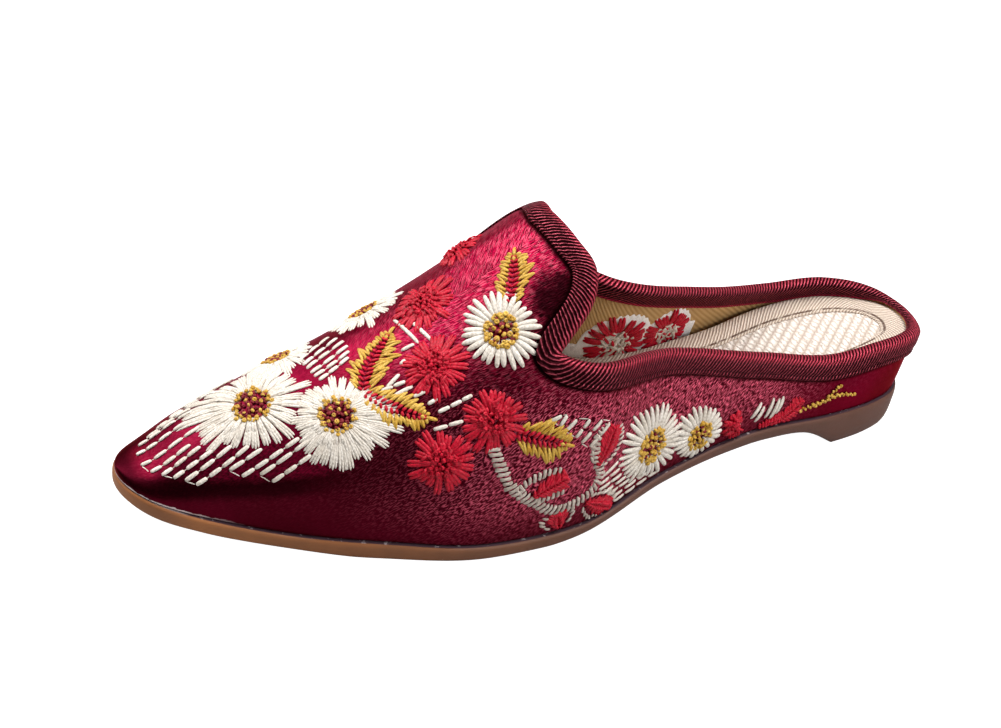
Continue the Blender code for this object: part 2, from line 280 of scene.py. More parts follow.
def finish_of(name, roughness, **sockets):
    """A material with one Principled shader, and its tree."""
    made = bpy.data.materials.new(name)
    made.use_nodes = True
    shader = made.node_tree.nodes["Principled BSDF"]
    shader.inputs["Roughness"].default_value = roughness
    for key, value in sockets.items():
        shader.inputs[key.replace("_", " ")].default_value = value
    return made, made.node_tree, shader


def dress(tree, shader, relief, **feeds):
    """Feeds the shader's sockets, and gives it relief of (height, metres, strength)."""
    height, distance, strength = relief
    bump = node(tree, "Bump", {"Height": height, "Distance": distance, "Strength": strength})
    tree.links.new(bump.outputs["Normal"], shader.inputs["Normal"])
    for key, source in feeds.items():
        tree.links.new(source, shader.inputs[key.replace("_", " ")])


rubber, tree, shader = finish_of("sole_rubber", 0.5, Specular_IOR_Level=0.25)
body_place = node(tree, "TexCoord").outputs["Object"]
toward_heel = node(tree, "SeparateXYZ", {0: body_place}).outputs["Y"]
_, _, level = laid_on(tree)
browner = stretch(tree, toward_heel, -0.105, 0.0)
clouded = stretch(tree, speck(tree, body_place, 60, 3), 0.35, 0.7, 0, 0.35)
squeezed_out = stretch(tree, speck(tree, body_place, 420, 4, 0.6), 0.6, 0.68)
by_toe = calc(tree, "MULTIPLY_ADD", speck(tree, body_place, 150, 3), 0.02, toward_heel)
squeezed_out = calc(tree, "MAXIMUM", squeezed_out, stretch(tree, by_toe, -0.098, -0.104))
cement = blend(tree, squeezed_out, (0.05, 0.026, 0.036), (0.42, 0.36, 0.36))
tone = tinted(
    tree, (0.36, 0.135, 0.045), (browner, (0.12, 0.05, 0.033)), (clouded, (0.065, 0.032, 0.022)),
    (stretch(tree, level, 9.1, 9.7), cement),
)
dress(tree, shader, (speck(tree, body_place, 900, 4), 0.0001, 0.5), Base_Color=tone)

phi_round = np.linspace(0, math.pi, 201)
phi_round[np.argmin(np.abs(phi_round - turn(HEEL_TREAD)))] = turn(HEEL_TREAD)
levels = []
for inset, share in SOLE_EDGE:
    s, half = plan(phi_round, inset)
    low, high = underside(s), at("feather", s)
    levels.append(ring(s, half, low + (high - low) * share))
side_chart = np.stack([ring_chart(level, k) for k, level in enumerate(levels)])
bottom, bottom_chart = across_grid(levels[0])
top, top_chart = across_grid(levels[-1])
top_chart = np.stack([top_chart[..., 1], np.full(top.shape[:2], 10.0)], axis=-1)
sole = weld("sole", [
    (np.stack(levels)[::-1], side_chart[::-1], 0),
    (bottom, bottom_chart, 0),
    (top[:, ::-1], top_chart[:, ::-1], 0),
], [rubber], 38)
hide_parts("outsole")

# ---- Cloth upper -------------------------------------------------------------------------------
# Crimson satin over interlining, lined in sand twill and lasted over a pointed last, so the vamp
# rises to a high rounded tongue. Its low wall runs round the heel.
WALL = 1.8
SEAT = 0.4
OUTER_FULLNESS, TOP_FULLNESS = 2.45, 2.05
TIP_POWER, CREST_TAPER = 1.5, 20.0
CORNER_ROUND, TONGUE_GIRTH = 3.2, 46.0
THROAT_U = (0, 0.2, 0.45, 0.7, 1)
THROAT_S = (146.3, 135.3, 130.2, 131.8, 133.5)
CORNER_S = THROAT_S[0] - CORNER_ROUND
LEDGE_LOST, LEDGE_LOST_FROM, LEDGE_LOST_OVER = 0.7, 226, 20


def skin(phi, angle):
    """A point outside the cloth: angle goes from 0 at the outer edge, over the crest, to pi."""
    by_toe = np.clip((along(phi) - LEDGE_LOST_FROM) / LEDGE_LOST_OVER, 0, 1)
    s, half = plan(phi, SOLE_LEDGE * (1 - LEDGE_LOST * by_toe))
    foot, crest = at("feather", s) + SEAT, at("crest", s)
    rise = np.abs(np.sin(angle)) ** (2 / TOP_FULLNESS)
    z = foot + (crest - foot) * rise
    height = np.clip((z - foot) / (at("collar", s) - foot), 0, 1)
    tip = at("tip_in", s) * height**TIP_POWER
    edge = np.sign(np.cos(angle)) * half * (1 - tip)
    shift = at("crest_shift", s) * np.minimum(half / CREST_TAPER, 1)
    over = np.clip(3 * angle / math.pi - 1, 0, 1)
    over = over * over * (3 - 2 * over)
    fullness = OUTER_FULLNESS + (at("inner_fullness", s) - OUTER_FULLNESS) * over
    x = at("shift", s) + shift + (edge - shift) * np.abs(np.cos(angle)) ** (2 / fullness)
    return place(x, raked(s, height), z)


def slopes(phi, angle):
    """Change of skin() with each of its two values."""
    d = 1e-3
    phi_low, phi_high = np.maximum(phi - d, 0), np.minimum(phi + d, math.pi)
    low, high = np.maximum(angle - d, 0), np.minimum(angle + d, math.pi)
    by_phi = (skin(phi_high, angle) - skin(phi_low, angle)) / (phi_high - phi_low)[..., None]
    by_angle = (skin(phi, high) - skin(phi, low)) / (high - low)[..., None]
    return by_phi, by_angle


def unit(vectors):
    return vectors / np.maximum(np.linalg.norm(vectors, axis=-1, keepdims=True), 1e-12)


def outward(phi, angle):
    by_phi, by_angle = slopes(phi, angle)
    return unit(np.cross(by_angle, by_phi))


def angle_at(phi, z):
    """The angle, on the outer side, where the skin reaches height z."""
    s, _ = plan(phi, SOLE_LEDGE)
    foot = at("feather", s) + SEAT
    share = np.clip((z - foot) / (at("crest", s) - foot), 0, 1)
    return np.arcsin(share ** (TOP_FULLNESS / 2))


def collar_angle(s):
    turn_up = CORNER_ROUND**2 / np.maximum(THROAT_S[0] - s, CORNER_ROUND)
    return angle_at(turn(s), at("collar", s) + turn_up)


def throat(u):
    """(s, angle) of the throat's edge on the outer side."""
    corner = collar_angle(CORNER_S)
    turn_back = CORNER_ROUND**2 / (CORNER_ROUND + TONGUE_GIRTH * u)
    return smooth(THROAT_U, THROAT_S, u) - turn_back, corner + (math.pi / 2 - corner) * u


GIRTH_PHI, GIRTH_ANGLE = np.linspace(0, math.pi, 420), np.linspace(0, math.pi, 361)
steps_over = np.diff(skin(*np.meshgrid(GIRTH_PHI, GIRTH_ANGLE, indexing="ij")), axis=1)
GIRTH = np.cumsum(np.linalg.norm(steps_over, axis=2), axis=1)
GIRTH = np.concatenate([np.zeros((len(GIRTH_PHI), 1)), GIRTH], axis=1)


def girth(phi, angle):
    """Length over the cloth from the outer feather edge up to this angle."""
    i = np.clip(np.asarray(phi) / math.pi * (len(GIRTH_PHI) - 1), 0, len(GIRTH_PHI) - 1.001)
    j = np.clip(np.asarray(angle) / math.pi * (len(GIRTH_ANGLE) - 1), 0, len(GIRTH_ANGLE) - 1.001)
    a, b = i.astype(int), j.astype(int)
    p, q = i - a, j - b
    low = GIRTH[a, b] * (1 - q) + GIRTH[a, b + 1] * q
    high = GIRTH[a + 1, b] * (1 - q) + GIRTH[a + 1, b + 1] * q
    return low * (1 - p) + high * p


def chart(s, g):
    """(phi, angle) of the place that lies s along the shoe and g over the cloth."""
    s, g = np.broadcast_arrays(np.asarray(s, float), np.asarray(g, float))
    phi = turn(s)
    low, high = np.zeros_like(phi), np.full_like(phi, math.pi)
    for _ in range(24):
        half_way = (low + high) / 2
        under = girth(phi, half_way) < g
        low, high = np.where(under, half_way, low), np.where(under, high, half_way)
    return phi, (low + high) / 2


def mirrored(values, over):
    """A row of values run on over the crest, from the inner side's own values."""
    return np.concatenate([values, over[-2::-1]])


THROAT_COLUMNS, SIDE_COLUMNS, VAMP_ROWS, QUARTER_ROWS = 60, 26, 150, 150
VAMP_GATHER, THROAT_GATHER = 1.15, 1.3
throat_s, throat_angle = throat(np.linspace(0, 1, THROAT_COLUMNS + 1) ** THROAT_GATHER)
up_wall = np.linspace(0, 1, SIDE_COLUMNS + 1)
half_angle = np.concatenate([collar_angle(CORNER_S) * up_wall[:-1], throat_angle])
half_end = np.concatenate([np.full(SIDE_COLUMNS, CORNER_S), throat_s])
vamp_angle = mirrored(half_angle, math.pi - half_angle)
vamp_end = turn(mirrored(half_end, half_end))
share = (np.linspace(0, 1, VAMP_ROWS + 1) ** VAMP_GATHER)[:, None]
vamp_phi = vamp_end + (math.pi - vamp_end) * share
vamp = (vamp_phi, np.broadcast_to(vamp_angle, vamp_phi.shape))
quarter_s = CORNER_S * (1 - np.cos(math.pi * np.linspace(0, 1, QUARTER_ROWS + 1))) / 2
reach = collar_angle(quarter_s)[:, None] * up_wall
quarter_phi = np.broadcast_to(turn(quarter_s)[:, None], reach.shape)
patches, from_inner = [], []
for phi, angle in (vamp, (quarter_phi, reach), (quarter_phi, math.pi - reach[:, ::-1])):
    outer, normal = skin(phi, angle), outward(phi, angle)
    laid = np.stack([along(phi), girth(phi, angle)], axis=-1)
    patches.append((outer[::-1], laid[::-1], 0))
    patches.append((outer - normal * WALL, laid, 1))
    inner_girth = girth(phi, np.full(phi.shape, math.pi)) - laid[..., 1]
    from_inner += [inner_girth[::-1], inner_girth]


def slubs(tree, where, long, wide, lean):
    """Noise drawn out in streaks this long and wide, at this lean in the cloth's chart."""
    links = {"Vector": where, "Rotation": (0, 0, math.radians(lean)), "Scale": (long, wide, 1)}
    drawn = node(tree, "Mapping", links, vector_type="TEXTURE")
    return speck(tree, drawn.outputs[0], 1.0, 1, 0.4)


def side_or_top(tree, on_top, on_side, above):
    """The side's value, changing to the one above as the cloth turns over the crest."""
    on_side = times(tree, on_side, calc(tree, "SUBTRACT", 1.0, on_top))
    return calc(tree, "ADD", on_side, times(tree, above, on_top))


satin, tree, shader = finish_of(
    "crimson_satin", 0.36, Specular_IOR_Level=0.08, Specular_Tint=(0.95, 0.16, 0.3, 1)
)
_, along_shoe, from_outer_edge = laid_on(tree)
_, from_inner_edge, _ = laid_on(tree, "inner")
_, from_mouth_edge, _ = laid_on(tree, "mouth")
on_inner = calc(tree, "GREATER_THAN", from_outer_edge, from_inner_edge)
up_side = calc(tree, "MINIMUM", from_outer_edge, from_inner_edge)
across = times(tree, up_side, calc(tree, "MULTIPLY_ADD", on_inner, -2.0, 1.0))
laid = node(tree, "CombineXYZ", {0: along_shoe, 1: across}).outputs[0]
on_top = stretch(tree, up_side, 34, 50)
slub, fine = (
    side_or_top(tree, on_top, slubs(tree, laid, *on_side), slubs(tree, laid, *above))
    for on_side, above in (
        ((1.25, 0.28, 143), (1.8, 0.22, 156)), ((1.1, 0.21, 140), (1.7, 0.2, 158)),
    )
)
mottle = speck(tree, laid, 0.05, 3)
# Noise that wobbles the edges of the painted shade and highlight.
shade_edge_wobble = calc(tree, "SUBTRACT", speck(tree, laid, 0.35, 4, 0.65), 0.5)

# The slubs thin out towards the toe, the heel, the feather edge and the crest.
nubby = times(
    tree, stretch(tree, along_shoe, 200, 165, 0.1, 1.0),
    stretch(tree, along_shoe, 42, 66, 0.1, 1.0),
    stretch(tree, up_side, 2, 12, 0.25, 1.0),
)
far_on = calc(tree, "ADD", on_top, stretch(tree, along_shoe, 140, 185))
slubby = times(
    tree, nubby, stretch(tree, far_on, 0, 1, 1.0, 0.36), stretch(tree, slub, 0.525, 0.56)
)
between_slubs = times(
    tree, stretch(tree, fine, 0.53, 0.45, 0, 0.92), stretch(tree, nubby, 0, 1, 0.2, 1)
)

# Painted light and shade: the tongue is painted lighter, the low sides and the ridge ahead of it
# darker.
lit_tongue = times(tree, stretch(tree, on_top, 0, 1, 0, 0.5), stretch(tree, along_shoe, 164, 146))
low_side_shade = times(
    tree, stretch(tree, on_top, 0, 1, 0.76, 0), stretch(tree, along_shoe, 40, 75, 0.35, 1)
)
ahead = times(
    tree, stretch(tree, along_shoe, 146, 162), stretch(tree, up_side, 30, 50, 0, 0.45),
    stretch(tree, fine, 0.56, 0.44, 0.35, 1),
)

# Painted shade by the toe: a dark band along the flank, with a painted highlight above it.
above_toe_shade_band = calc(tree, "SUBTRACT", up_side, calc(tree, "MULTIPLY_ADD", along_shoe, -0.3, 76.7))
above_toe_shade_band = calc(tree, "MULTIPLY_ADD", shade_edge_wobble, 3.0, above_toe_shade_band)
toe_shade_band = calc(tree, "ABSOLUTE", calc(tree, "ADD", above_toe_shade_band, 0.5))
toe_shade_band = times(
    tree, stretch(tree, toe_shade_band, 3.4, 1.2), stretch(tree, along_shoe, 194, 208, 0, 0.75)
)
painted_toe_highlight = times(
    tree, stretch(tree, above_toe_shade_band, 1.0, 3.2), stretch(tree, along_shoe, 192, 203),
    stretch(tree, along_shoe, 238, 226), stretch(tree, fine, 0.44, 0.56, 0.2, 1),
)

# Painted shade: dark patches on the nose of the toe and under the corner of the throat.
throat_corner_shade = calc(tree, "ADD", *(
    calc(tree, "POWER", calc(tree, "DIVIDE", calc(tree, "SUBTRACT", value, centre), radius), 2.0)
    for value, centre, radius in ((along_shoe, 139.0, 7.5), (from_outer_edge, 65.0, 8.5))
))
throat_corner_shade = calc(tree, "MULTIPLY_ADD", shade_edge_wobble, 2.4, throat_corner_shade)
shaded = calc(tree, "MAXIMUM", toe_shade_band, stretch(tree, along_shoe, 240.0, 244.0, 0, 0.75))
shaded = calc(tree, "MAXIMUM", shaded, stretch(tree, throat_corner_shade, 1.6, 0.5, 0, 0.95))
cemented = calc(tree, "MULTIPLY_ADD", speck(tree, laid, 0.5, 3), 1.6, up_side)
cemented = times(
    tree, stretch(tree, cemented, 1.26, 1.06), stretch(tree, along_shoe, 219, 231, 0, 0.9)
)

# The satin's colour: dye, slubs and cement, with painted light and shade laid over them.
tone = tinted(
    tree, (0.16, 0.0016, 0.015),
    (stretch(tree, mottle, 0.35, 0.65), (0.25, 0.003, 0.028)),
    (lit_tongue, (0.36, 0.005, 0.04)),
    (between_slubs, (0.016, 0.0008, 0.0024)),
    (low_side_shade, (0.03, 0.001, 0.004)),
    (slubby, (0.78, 0.125, 0.195)),
    (ahead, (0.06, 0.001, 0.006)),
    (times(tree, painted_toe_highlight, 0.5), (0.26, 0.004, 0.034)),
    (shaded, (0.012, 0.0006, 0.002)),
    (cemented, (0.72, 0.62, 0.62)),
    # Painted shadow on the cloth along the edge of the collar binding.
    (stretch(tree, from_mouth_edge, 6.0, 7.0, 0.97, 0.0), (0.004, 0.0002, 0.0004)),
)
bright = calc(tree, "MAXIMUM", calc(tree, "MAXIMUM", slubby, painted_toe_highlight), cemented)
dress(
    tree, shader, (times(tree, calc(tree, "ADD", slub, fine), nubby), 0.00014, 0.7),
    Base_Color=tone, Roughness=stretch(tree, fine, 0.3, 0.7, 0.30, 0.46),
    Metallic=stretch(tree, bright, 0.0, 1.0, 0.85, 0.35),
)

lining, tree, shader = finish_of("sand_lining", 0.85)
laid, _, _ = laid_on(tree)
rib = node(
    tree, "TexWave", {"Vector": laid, "Scale": 0.32, "Distortion": 0.6, "Detail": 2.0},
    wave_type="BANDS", bands_direction="DIAGONAL",
).outputs["Fac"]
tone = blend(tree, times(tree, rib, 0.6), (0.52, 0.32, 0.125), (0.42, 0.245, 0.085))
dress(tree, shader, (rib, 0.0002, 0.7), Base_Color=tone)

edge_s = CORNER_S * (1 - np.cos(math.pi * np.linspace(0, 1, 151))) / 2
edge_u = np.linspace(0, 1, 91) ** 1.25
tongue_s, tongue_angle = throat(edge_u)
outer_edge = np.concatenate([
    np.stack([turn(edge_s), collar_angle(edge_s)], axis=1),
    np.stack([turn(tongue_s), tongue_angle], axis=1)[1:],
])
mouth_phi, mouth_angle = mirrored(outer_edge, outer_edge * [1, -1] + [0, math.pi]).T
mouth = skin(mouth_phi, mouth_angle)
from_mouth = [
    np.sqrt(((grid[:, :, None] - mouth[::2]) ** 2).sum(-1)).min(-1) for grid, _, _ in patches
]
distances = {"mouth": from_mouth, "inner": from_inner}
upper = weld("upper_cloth", patches, [satin, lining], 60, distances)
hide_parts("upper")

# ---- Footbed -----------------------------------------------------------------------------------
# A board with a soft wedge under the heel, covered in cream basket weave. The cover is a flat
# panel, turned down at its rim.
FOOTBED_S = (0, 27, 57, 77, 102, 147, 187, 237)
FOOTBED_HEIGHT = (25.5, 23.4, 19, 15.9, 12.7, 7.6, 8.3, 15.5)
FOOTBED_EDGE_IN = SOLE_LEDGE + WALL + 0.5
FOOTBED_LEAN = 0.97
FOOTBED_NARROW, FOOTBED_NARROW_SPAN, FOOTBED_NARROW_TAPER = 2.6, (60.0, 100.0), 15.0
FOOTBED_TOE = (187.0, 235.0)


def bed_top(s):
    return smooth(FOOTBED_S, FOOTBED_HEIGHT, s)


def bed_plan(phi, inset):
    """(s, half width) round the footbed, whose toe is drawn back to clear the toe of the upper."""
    s, half = plan(phi, inset)
    start, end = FOOTBED_TOE
    tip = LENGTH - inset
    s = np.where(s > start, start + (s - start) * (end - start) / (tip - start), s)
    first, last = FOOTBED_NARROW_SPAN
    narrow = np.clip((last - s) / (last - first), 0, 1) * np.clip(half / FOOTBED_NARROW_TAPER, 0, 1)
    return s, half - FOOTBED_NARROW * narrow


weave, tree, shader = finish_of("basket_weave", 0.8, Sheen_Weight=0.2)
laid, _, _ = laid_on(tree)
links = {"Vector": laid, "Rotation": (0, 0, math.radians(-112)), "Scale": (0.30, 0.62, 1)}
cell = node(tree, "SeparateXYZ", {0: node(tree, "Mapping", links).outputs[0]}).outputs
row = calc(tree, "FLOOR", cell["Y"])
uneven = calc(tree, "MULTIPLY_ADD", speck(tree, laid, 0.5, 3), 1.8, cell["X"])
pick = times(tree, *(
    calc(tree, "POWER", times(tree, calc(tree, "PINGPONG", value, 0.5), 2.0), power)
    for value, power in ((calc(tree, "MULTIPLY_ADD", row, 0.5, uneven), 0.45), (cell["Y"], 0.6))
))
fluff = speck(tree, laid, 2.5, 3)
tone = tinted(
    tree, (0.42, 0.32, 0.25), (stretch(tree, pick, 0.15, 0.8), (0.84, 0.76, 0.69)),
    (stretch(tree, fluff, 0.45, 0.7, 0, 0.4), (0.80, 0.72, 0.64)),
)
height = calc(tree, "ADD", pick, times(tree, fluff, 0.3))
dress(tree, shader, (height, 0.0006, 0.9), Base_Color=tone)

s_in, half_in = bed_plan(phi_round, FOOTBED_EDGE_IN)
s_top, half_top = bed_plan(phi_round, FOOTBED_EDGE_IN + 0.6)
bed_rings = [
    ring(s_in, half_in, at("feather", s_in) + SEAT, 0.0),
    ring(s_in, half_in, bed_top(s_in) - 0.9, FOOTBED_LEAN),
    ring(s_in, half_in - 0.15, bed_top(s_in) - 0.35, FOOTBED_LEAN),
    ring(s_top, half_top, bed_top(s_top), FOOTBED_LEAN),
]
bed, bed_chart = across_grid(bed_rings[-1], 25)
under_bed, under_chart = across_grid(bed_rings[0])
bed_sides = np.stack([ring_chart(edge, k) for k, edge in enumerate(bed_rings)])
footbed = weld("footbed", [
    (np.stack(bed_rings)[::-1], bed_sides[::-1], 0),
    (bed[:, ::-1], bed_chart[:, ::-1], 0),
    (under_bed, under_chart, 0),
], [weave], 60)
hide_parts("insole")

# ---- Footbed tape ------------------------------------------------------------------------------
# Cream twill tape laid flat on the footbed's rim, stitched down along its inner edge. It runs
# from under the vamp round the heel and back.
TAPE_THICK, TAPE_END = 1.0, 195.0


def effect(name, inputs, outputs):
    """A node group with number sockets of these names, and the sockets at its two ends."""
    made = bpy.data.node_groups.new(name, "ShaderNodeTree")
    for in_out, sockets in (("INPUT", inputs), ("OUTPUT", outputs)):
        for socket in sockets:
            made.interface.new_socket(socket, in_out=in_out, socket_type="NodeSocketFloat")
    return made, node(made, "NodeGroupInput").outputs, node(made, "NodeGroupOutput").inputs


ribs, given, gives = effect(
    "twill_ribs", ("Along", "Across", "Pitch", "Slant"), ("Height", "Crest", "Groove")
)
slanted = calc(ribs, "ADD", given["Along"], times(ribs, given["Across"], given["Slant"]))
phase = calc(ribs, "DIVIDE", slanted, given["Pitch"])
where = node(
    ribs, "CombineXYZ", {0: times(ribs, phase, 0.35), 1: times(ribs, given["Across"], 1.1)}
)
wander = times(ribs, calc(ribs, "SUBTRACT", speck(ribs, where.outputs[0], 1.0, 2), 0.5), 0.5)
wave = calc(ribs, "SINE", times(ribs, calc(ribs, "ADD", phase, wander), 2 * math.pi))
ridge = calc(ribs, "POWER", calc(ribs, "MULTIPLY_ADD", wave, 0.5, 0.5), 0.65)
ribs.links.new(ridge, gives["Height"])
ribs.links.new(stretch(ribs, ridge, 0.88, 1.0), gives["Crest"])
ribs.links.new(stretch(ribs, ridge, 0.68, 0.36), gives["Groove"])


def ribbed(tree, pitch, slant):
    """Height, crest and groove of ribs at this pitch over the chart, and the chart's place."""
    laid, walked, across = laid_on(tree)
    links = {"Along": walked, "Across": across, "Pitch": pitch, "Slant": slant}
    made = node(tree, "Group", links, node_tree=ribs).outputs
    return made["Height"], made["Crest"], made["Groove"], laid, across


def line_at(tree, value, centre, outside, inside):
    """1 on a line where the value is at its centre, fading to 0 beside it."""
    gap = calc(tree, "ABSOLUTE", calc(tree, "SUBTRACT", value, centre))
    return stretch(tree, gap, outside, inside)


cream_twill, tree, shader = finish_of("cream_twill", 0.75, Sheen_Weight=0.2)
height, crest, groove, laid, inward = ribbed(tree, 1.25, -0.9)
dashes = stretch(tree, speck(tree, laid, 0.3, 1), 0.38, 0.5, 0.3, 1.0)
seam = times(tree, line_at(tree, inward, 7.35, 0.5, 0.28), dashes)
tone = tinted(
    tree, (0.62, 0.51, 0.41), (groove, (0.42, 0.30, 0.22)), (crest, (0.73, 0.62, 0.52)),
    (seam, (0.10, 0.048, 0.025)),
)
dress(tree, shader, (height, 0.00035, 0.9), Base_Color=tone)

phi_tape = np.linspace(0, turn(TAPE_END), 200)
TAPE_PROFILE = (
    (0.2, 0.4), (0.2, 0.85), (0.45, 1.05), (1.2, 1.15), (3.5, 1.15), (6.2, 1.0), (7.0, 0.85),
    (7.35, 0.68), (7.7, 0.72), (8.2, 0.6), (8.5, 0.35), (8.5, 0.1),
)
rows = []
for inset, up in TAPE_PROFILE:
    s, half = bed_plan(phi_tape, FOOTBED_EDGE_IN + inset)
    outer, inner = (
        place(at("shift", s) + side * half, raked(s, FOOTBED_LEAN), bed_top(s) + up)
        for side in (1, -1)
    )
    rows.append(np.concatenate([outer[::-1], inner[1:]]))
walked = lengths(rows[4])
row_chart = [np.stack([walked, np.full(len(walked), inset)], axis=-1) for inset, _ in TAPE_PROFILE]
bed_tape = weld("footbed_tape", [(np.stack(rows), np.stack(row_chart), 0)], [cream_twill], 70)
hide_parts("insole_tape")

# ---- Collar binding ----------------------------------------------------------------------------
# Bordeaux twill tape folded over the whole edge of the mouth and stitched through along its lower
# edge, which leaves a small groove. It is rolled full over the edge of the cloth.
BINDING_THICK, BINDING_GAP = 1.0, 0.25
BINDING_OUTSIDE, BINDING_INSIDE, BINDING_LEAST = 5.4, 5.0, 0.8
BED_CLEARANCE = 0.25
CORNER_EVENED = 3.2
FLATTER, FLATTER_FROM, FLATTER_OVER = 0.62, 118, 8


def slide(phi, angle, direction, distance, steps=6):
    """Moves points over the skin by distance, heading along direction at each."""
    distance = np.broadcast_to(distance, phi.shape)
    for _ in range(steps):
        by_phi, by_angle = slopes(phi, angle)
        normal = unit(np.cross(by_angle, by_phi))
        flat = unit(direction - (direction * normal).sum(-1, keepdims=True) * normal)
        step = flat * (distance / steps)[..., None]
        a, b, c = (by_phi**2).sum(-1), (by_phi * by_angle).sum(-1), (by_angle**2).sum(-1)
        d, e = (step * by_phi).sum(-1), (step * by_angle).sum(-1)
        det = np.maximum(a * c - b * b, 1e-9)
        phi, angle = phi + (d * c - e * b) / det, angle + (e * a - d * b) / det
    return phi, angle


mouth_normal = outward(mouth_phi, mouth_angle)
mouth_s = MIDDLE_S - mouth[:, 1]
walk = lengths(mouth)
gap = np.abs(walk[:-1, None] - walk[None, :-1])
gap = np.minimum(gap, walk[-1] - gap)
near_by = np.exp(-((gap / CORNER_EVENED) ** 2)) * np.gradient(walk)[None, :-1]
ahead = near_by @ unit(np.roll(mouth[:-1], -1, axis=0) - np.roll(mouth[:-1], 1, axis=0))
into = unit(np.cross(mouth_normal, np.concatenate([ahead, ahead[:1]])))
ground = bed_top(mouth_s) + TAPE_THICK + BED_CLEARANCE
inside = np.clip(mouth[:, 2] - ground, BINDING_LEAST, BINDING_INSIDE)
inner_side = np.clip((mouth_angle - math.pi / 2) * 4, 0, 1)
by_tongue = np.clip((mouth_s - FLATTER_FROM) / FLATTER_OVER, 0, 1)
body = 1 - FLATTER * (inner_side * by_tongue)


def leg(depth, away):
    """A row of the tape this far in from the mouth's edge, and this far off the cloth's face."""
    phi, angle = slide(mouth_phi, mouth_angle, into, depth)
    off_face = away * np.where(away > 0, body, 1)
    return skin(phi, angle) + outward(phi, angle) * off_face[:, None]


near, far = BINDING_GAP, BINDING_GAP + BINDING_THICK
band = [
    (leg(BINDING_OUTSIDE, near), -0.4),
    (leg(BINDING_OUTSIDE + 0.1, far * 0.6), 0.0),
    (leg(BINDING_OUTSIDE - 0.25, far), 0.4),
]
for back, away in (
    (0.8, 1.0), (1.15, 0.9), (1.45, 0.86), (1.8, 1.02), (2.6, 1.15), (3.6, 1.15), (4.6, 1.08),
):
    band.append((leg(BINDING_OUTSIDE - back, far * away), 0.2 + back))
core = mouth - mouth_normal * (WALL / 2)
for bend in np.radians((0, 22, 45, 67, 90, 113, 135, 158, 180)):
    wide = WALL / 2 + far * (body[:, None] if bend < math.pi / 2 else 1)
    over = into * (far * 1.05 * math.sin(bend)) * body[:, None]
    row = core + mouth_normal * (wide * math.cos(bend)) - over
    band.append((row, BINDING_OUTSIDE + bend * 1.5))
for share in (0.25, 0.5, 0.75, 0.93, 1.0):
    away = -WALL - (far if share < 1.0 else (near + far) / 2)
    band.append((leg(inside * share, away), BINDING_OUTSIDE + 4.7 + 5 * share))
band.append((leg(inside * 0.97, -WALL - near * 0.4), BINDING_OUTSIDE + 10.2))
band_rows = np.stack([row for row, _ in band])
band_chart = np.stack([ring_chart(mouth, across) for _, across in band])

bordeaux_twill, tree, shader = finish_of(
    "bordeaux_twill", 0.4, Metallic=0.55, Specular_IOR_Level=0.1, Specular_Tint=(0.9, 0.2, 0.3, 1)
)
height, crest, groove, laid, up = ribbed(tree, 1.2, 0.75)
# Painted light: the fold over the mouth's edge is painted lighter.
fold_painted_light = times(tree, stretch(tree, up, 4.2, 5.8), stretch(tree, up, 9.6, 8.0))
# Noise that breaks up the painted highlights on the rib crests.
drawn = node(tree, "Mapping", {"Vector": laid, "Scale": (1.6, 0.5, 1)}).outputs[0]
glint = stretch(tree, speck(tree, drawn, 1.0, 3, 0.6), 0.38, 0.62, 0.3, 1.0)
selvedge = times(tree, stretch(tree, up, 13.6, 14.2), stretch(tree, height, 0.3, 0.7, 0.25, 1.0))
# Painted shade in the stitched groove near the tape's lower edge.
stitch_groove_shade = times(tree, line_at(tree, up, 1.5, 0.3, 0.1), 0.55)
# Rib grooves are painted darker as shade, and rib crests get painted pink highlights.
tone = tinted(
    tree, (0.03, 0.002, 0.004), (fold_painted_light, (0.34, 0.03, 0.05)), (groove, (0.010, 0.0008, 0.0016)),
    (times(tree, crest, glint), (0.62, 0.11, 0.155)), (selvedge, (0.50, 0.03, 0.08)),
    (stitch_groove_shade, (0.006, 0.0005, 0.001)),
)
dress(tree, shader, (height, 0.0003, 0.9), Base_Color=tone)
band_patch = (band_rows[:, ::-1], band_chart[:, ::-1], 0)
binding = weld("collar_tape", [band_patch], [bordeaux_twill], 80)
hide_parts("collar_binding")

# ---- Cream daisies -----------------------------------------------------------------------------
# Worked by machine in soft twisted thread before the upper was cut. The daisies by the toe have
# petals of three thin strands over shorter ones, and the others have one thick strand a petal.
TENSION = np.array([0.0, 0.07, 0.22, 0.5, 0.78, 0.93, 1.0])
STRAND_SIDES, SUNK, SIDE_SHORTER = 7, 0.12, 0.35
dice = np.random.default_rng(11)


def strands(first, last, width, over=0.0, flat=0.62, face=1, ends=0.5):
    """Threads over the cloth, or inside it for face -1, between (phi, angle) places in pairs.

    They are raised by over and squashed to flat, and a lower ends makes their ends blunter.
    """
    phi, angle = (
        first[:, i : i + 1] * (1 - TENSION) + last[:, i : i + 1] * TENSION for i in (0, 1)
    )
    normal = outward(phi, angle)
    base = skin(phi, angle) - normal * (WALL if face < 0 else 0)
    normal = normal * face
    width = np.broadcast_to(width, len(first))[:, None]
    over = np.broadcast_to(over, len(first))[:, None]
    rise = np.abs(np.sin(np.pi * TENSION)) ** ends
    centre = base + normal * ((width * flat * 0.5 + over) * rise - SUNK)[..., None]
    ahead = unit(np.gradient(centre, axis=1))
    sideways = unit(np.cross(normal, ahead))
    lift = np.cross(ahead, sideways)
    thick = (width / 2 * (0.4 + 0.6 * rise))[..., None, None]
    turned = np.linspace(0, 2 * math.pi, STRAND_SIDES, endpoint=False)[:, None]
    rim = np.cos(turned) * sideways[:, :, None] + np.sin(turned) * flat * lift[:, :, None]
    length = np.linalg.norm(centre[:, -1] - centre[:, 0], axis=-1)[:, None] * TENSION
    return centre[:, :, None] + thick * rim, length + dice.uniform(0, 4000, (len(first), 1))


